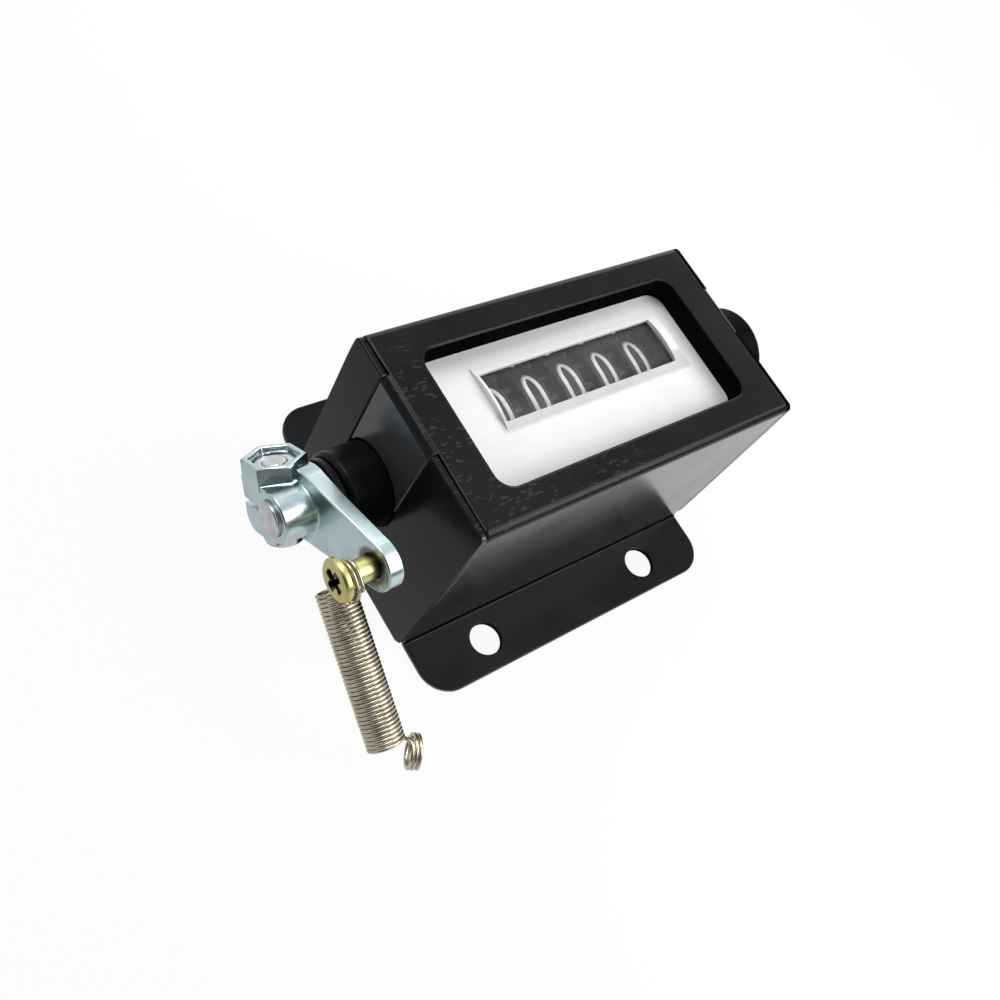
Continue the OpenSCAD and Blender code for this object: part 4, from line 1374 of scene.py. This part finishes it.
@dataclass
class Studio:
    """Camera at the photograph's view, white surroundings and soft lamps."""

    lens: float = 39.43
    sensor: float = 36.0
    clip: Span = (0.005, 20.0)
    eye: Point = (-120.64, -54.43, 174.09)
    right: Point = (0.7712, -0.5136, 0.3761)
    up: Point = (0.3179, 0.8226, 0.4714)
    fill: float = 0.32
    ceiling: float = 0.76
    dim: float = 0.06
    patches: tuple[tuple[Point, Span], ...] = (
        ((-0.77, -0.41, 0.48), (0.60, 0.86)),
        ((0.53, -0.84, 0.05), (0.74, 0.92)),
    )
    floor_z: float = -0.3
    floor_half: float = 1500.0
    # Painted shade: the floor's tone is greyer to the left, which shows mostly in reflections.
    floor_grey: float = 0.56
    floor_pale: float = 0.96
    floor_fade: Span = (-95.0, 15.0)
    # Painted shade: under the counter's footprint the floor is near black, seen mostly in reflections.
    shade_under: float = 0.04
    shade_under_edge: Span = (31.5, 30.5)
    glow_seen: float = 0.94
    glow_gloss: float = 0.85
    lamps: tuple[SoftBox, ...] = (
        SoftBox("key_lamp", (-60.0, 200.0, 320.0), 200.0, 0.55),
        SoftBox("low_lamp", (142.0, -228.0, 205.0), 200.0, 0.38),
        SoftBox("front_lamp", (160.0, -120.0, 262.0), 210.0, 0.40),
        SoftBox("back_lamp", (168.0, 214.0, 138.0), 170.0, 0.13),
    )

    def camera(self) -> None:
        """Sets up the camera: its columns are right, up and the direction back from the view."""
        right = unit(np.array(self.right))
        up = unit(np.array(self.up) - np.dot(self.up, right) * right)
        data = bpy.data.cameras.new("photo_camera")
        data.sensor_width = self.sensor
        data.lens = self.lens
        data.clip_start, data.clip_end = self.clip
        columns = np.column_stack([right, up, np.cross(right, up), np.array(self.eye) * MM])
        made = link("photo_camera", data)
        made.matrix_world = Matrix([*columns.tolist(), [0.0, 0.0, 0.0, 1.0]])
        bpy.context.scene.camera = made

    @staticmethod
    def patch(g: Graph, towards: Point, edge: Span) -> Wire:
        """Round patch of the sky, 1 in its middle, that fades between two cosines from its own direction."""
        turned = {0: g.place(), 1: towards}
        return g.wire("ShaderNodeVectorMath", turned, "Value", operation="DOT_PRODUCT").step(*edge)

    @staticmethod
    def rays(g: Graph, *kinds: str) -> list[Wire]:
        """Wires that are 1 for rays of the named kinds."""
        path = g.node("ShaderNodeLightPath")
        return [Wire(g, path.outputs[f"Is {kind} Ray"]) for kind in kinds]

    def surroundings(self) -> None:
        """World that is white to the camera, grey to matt pieces, and bright in gloss but for dim patches."""
        g = Graph("studio", world=True)
        camera, through, glossy = self.rays(g, "Camera", "Transmission", "Glossy")
        dim = reduce(Wire.larger, [self.patch(g, towards, edge) for towards, edge in self.patches])
        roof = self.ceiling - dim * (self.ceiling - self.dim)
        strength = camera.larger(through).larger(glossy * roof + (1 - glossy) * self.fill)
        sky = g.node("ShaderNodeBackground", {"Color": (1.0, 1.0, 1.0), "Strength": strength})
        bpy.context.scene.world = g.end(sky)

    def floor(self) -> None:
        """Pale floor: mostly white to the camera, with some of its own shading left for a faint shadow; in
        reflections it carries painted shade.
        """
        g = Graph("pale_floor")
        camera, glossy = self.rays(g, "Camera", "Glossy")
        x, y, _ = g.axes()
        # Painted shade: greyer floor to the left.
        tone = g.blend(x.step(*self.floor_fade), (self.floor_grey,) * 3, (self.floor_pale,) * 3)
        # Painted shade: the floor turns near black under the counter.
        tone = g.blend(abs(x).larger(abs(y)).step(*self.shade_under_edge), tone, (self.shade_under,) * 3)
        matt = g.wire("ShaderNodeBsdfDiffuse", {"Color": tone})
        shown = g.blend(camera, tone, (1.0, 1.0, 1.0))
        glow = g.wire("ShaderNodeEmission", {"Color": shown, "Strength": 1.0})
        share = camera * self.glow_seen + glossy * self.glow_gloss
        finish = g.end(g.node("ShaderNodeMixShader", {0: share, 1: matt, 2: glow}))
        corners = np.array([[-1, -1], [1, -1], [1, 1], [-1, 1]]) * self.floor_half
        verts = np.column_stack([corners, np.full(4, self.floor_z)])
        put_mesh("floor", verts, np.array([[0, 1, 2, 3]]), finish)

    def build(self) -> None:
        """Sets the camera, the surroundings, the floor and the lamps."""
        bpy.context.scene.view_settings.view_transform = "Standard"
        self.camera()
        self.surroundings()
        self.floor()
        for lamp in self.lamps:
            lamp.build()
        log.info("built the studio")


def dress_nodes(finishes: Finishes) -> None:
    """Gives each CAD node the finish of its record slot.

    Args:
        finishes: Material for each slot.
    """
    for part in frame["record"]["subparts"]:
        node = frame["nodes"].get(part["node"])
        if node is None:
            continue
        node.data.materials.clear()
        node.data.materials.append(finishes[Slot(part["material_slot"])])


def main() -> None:
    """Builds the finishes, the sub-assemblies and the studio."""
    logging.basicConfig(level=logging.INFO, format="%(name)s: %(message)s")
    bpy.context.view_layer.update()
    finishes = {
        # The body's enamel carries the painted reflection up its walls.
        Slot.BODY: PaintedSheet(reflection_share=0.8).make(),
        Slot.DIAL: DialPlastic().make(),
        Slot.PANE: ClearPane().make(),
        Slot.WHEEL: WheelPlastic().make(),
        Slot.PINION: MouldedPlastic("ivory_pinion_plastic", dark=(0.62, 0.58, 0.48),
                                    pale=(0.74, 0.7, 0.6), roughness=0.4).make(),
        Slot.SHEET: TurnedMetal("zinc_plated_sheet", dark=(0.5, 0.51, 0.52), pale=(0.62, 0.63, 0.64),
                                roughness=0.34, grain=(0.3, 0.18)).make(),
        Slot.STEEL: TurnedMetal("bright_steel", dark=(0.55, 0.56, 0.58), pale=(0.74, 0.75, 0.77)).make(),
        Slot.SPRING: SpringWire().make(),
        Slot.CAST: CastZinc().make(),
        Slot.BRASS: BrassScrew().make(),
        Slot.BUSH: MouldedPlastic("black_bush_lacquer", dark=(0.004, 0.004, 0.0045),
                                  pale=(0.008, 0.008, 0.009), roughness=0.3, specular=0.12).make(),
        Slot.KNOB: MouldedPlastic("black_knob_plastic", dark=(0.003, 0.003, 0.0035),
                                  pale=(0.006, 0.006, 0.007), roughness=0.4, specular=0.02).make(),
    }
    # Painted shade: near-black enamel without gloss in the window's collar, on the right end and in the folds
    # to the flanges.
    matt = PaintedSheet("dull_enamel_collar", dark=(0.003, 0.003, 0.0035), pale=(0.005, 0.005, 0.006),
                        roughness=0.8, specular=0.0, creased=0.0).make()
    thin = PaintedSheet("thin_enamel_sheet", specular=0.15).make()
    ink = MouldedPlastic("white_figure_ink", dark=(0.86, 0.87, 0.88), pale=(0.92, 0.93, 0.94),
                         roughness=0.5, grain=(0.15, 0.18), relief=(0.006, 0.5)).make()
    dress_nodes(finishes)
    Housing().build(finishes, matt, thin)
    NumberWheels().build(ink)
    PullLever().build(finishes)
    PullSpring().build(finishes[Slot.SPRING])
    ReturnSpring().build(finishes[Slot.SPRING])
    ResetKnob().build(finishes)
    Studio().build()


if __name__ == "__main__":
    main()
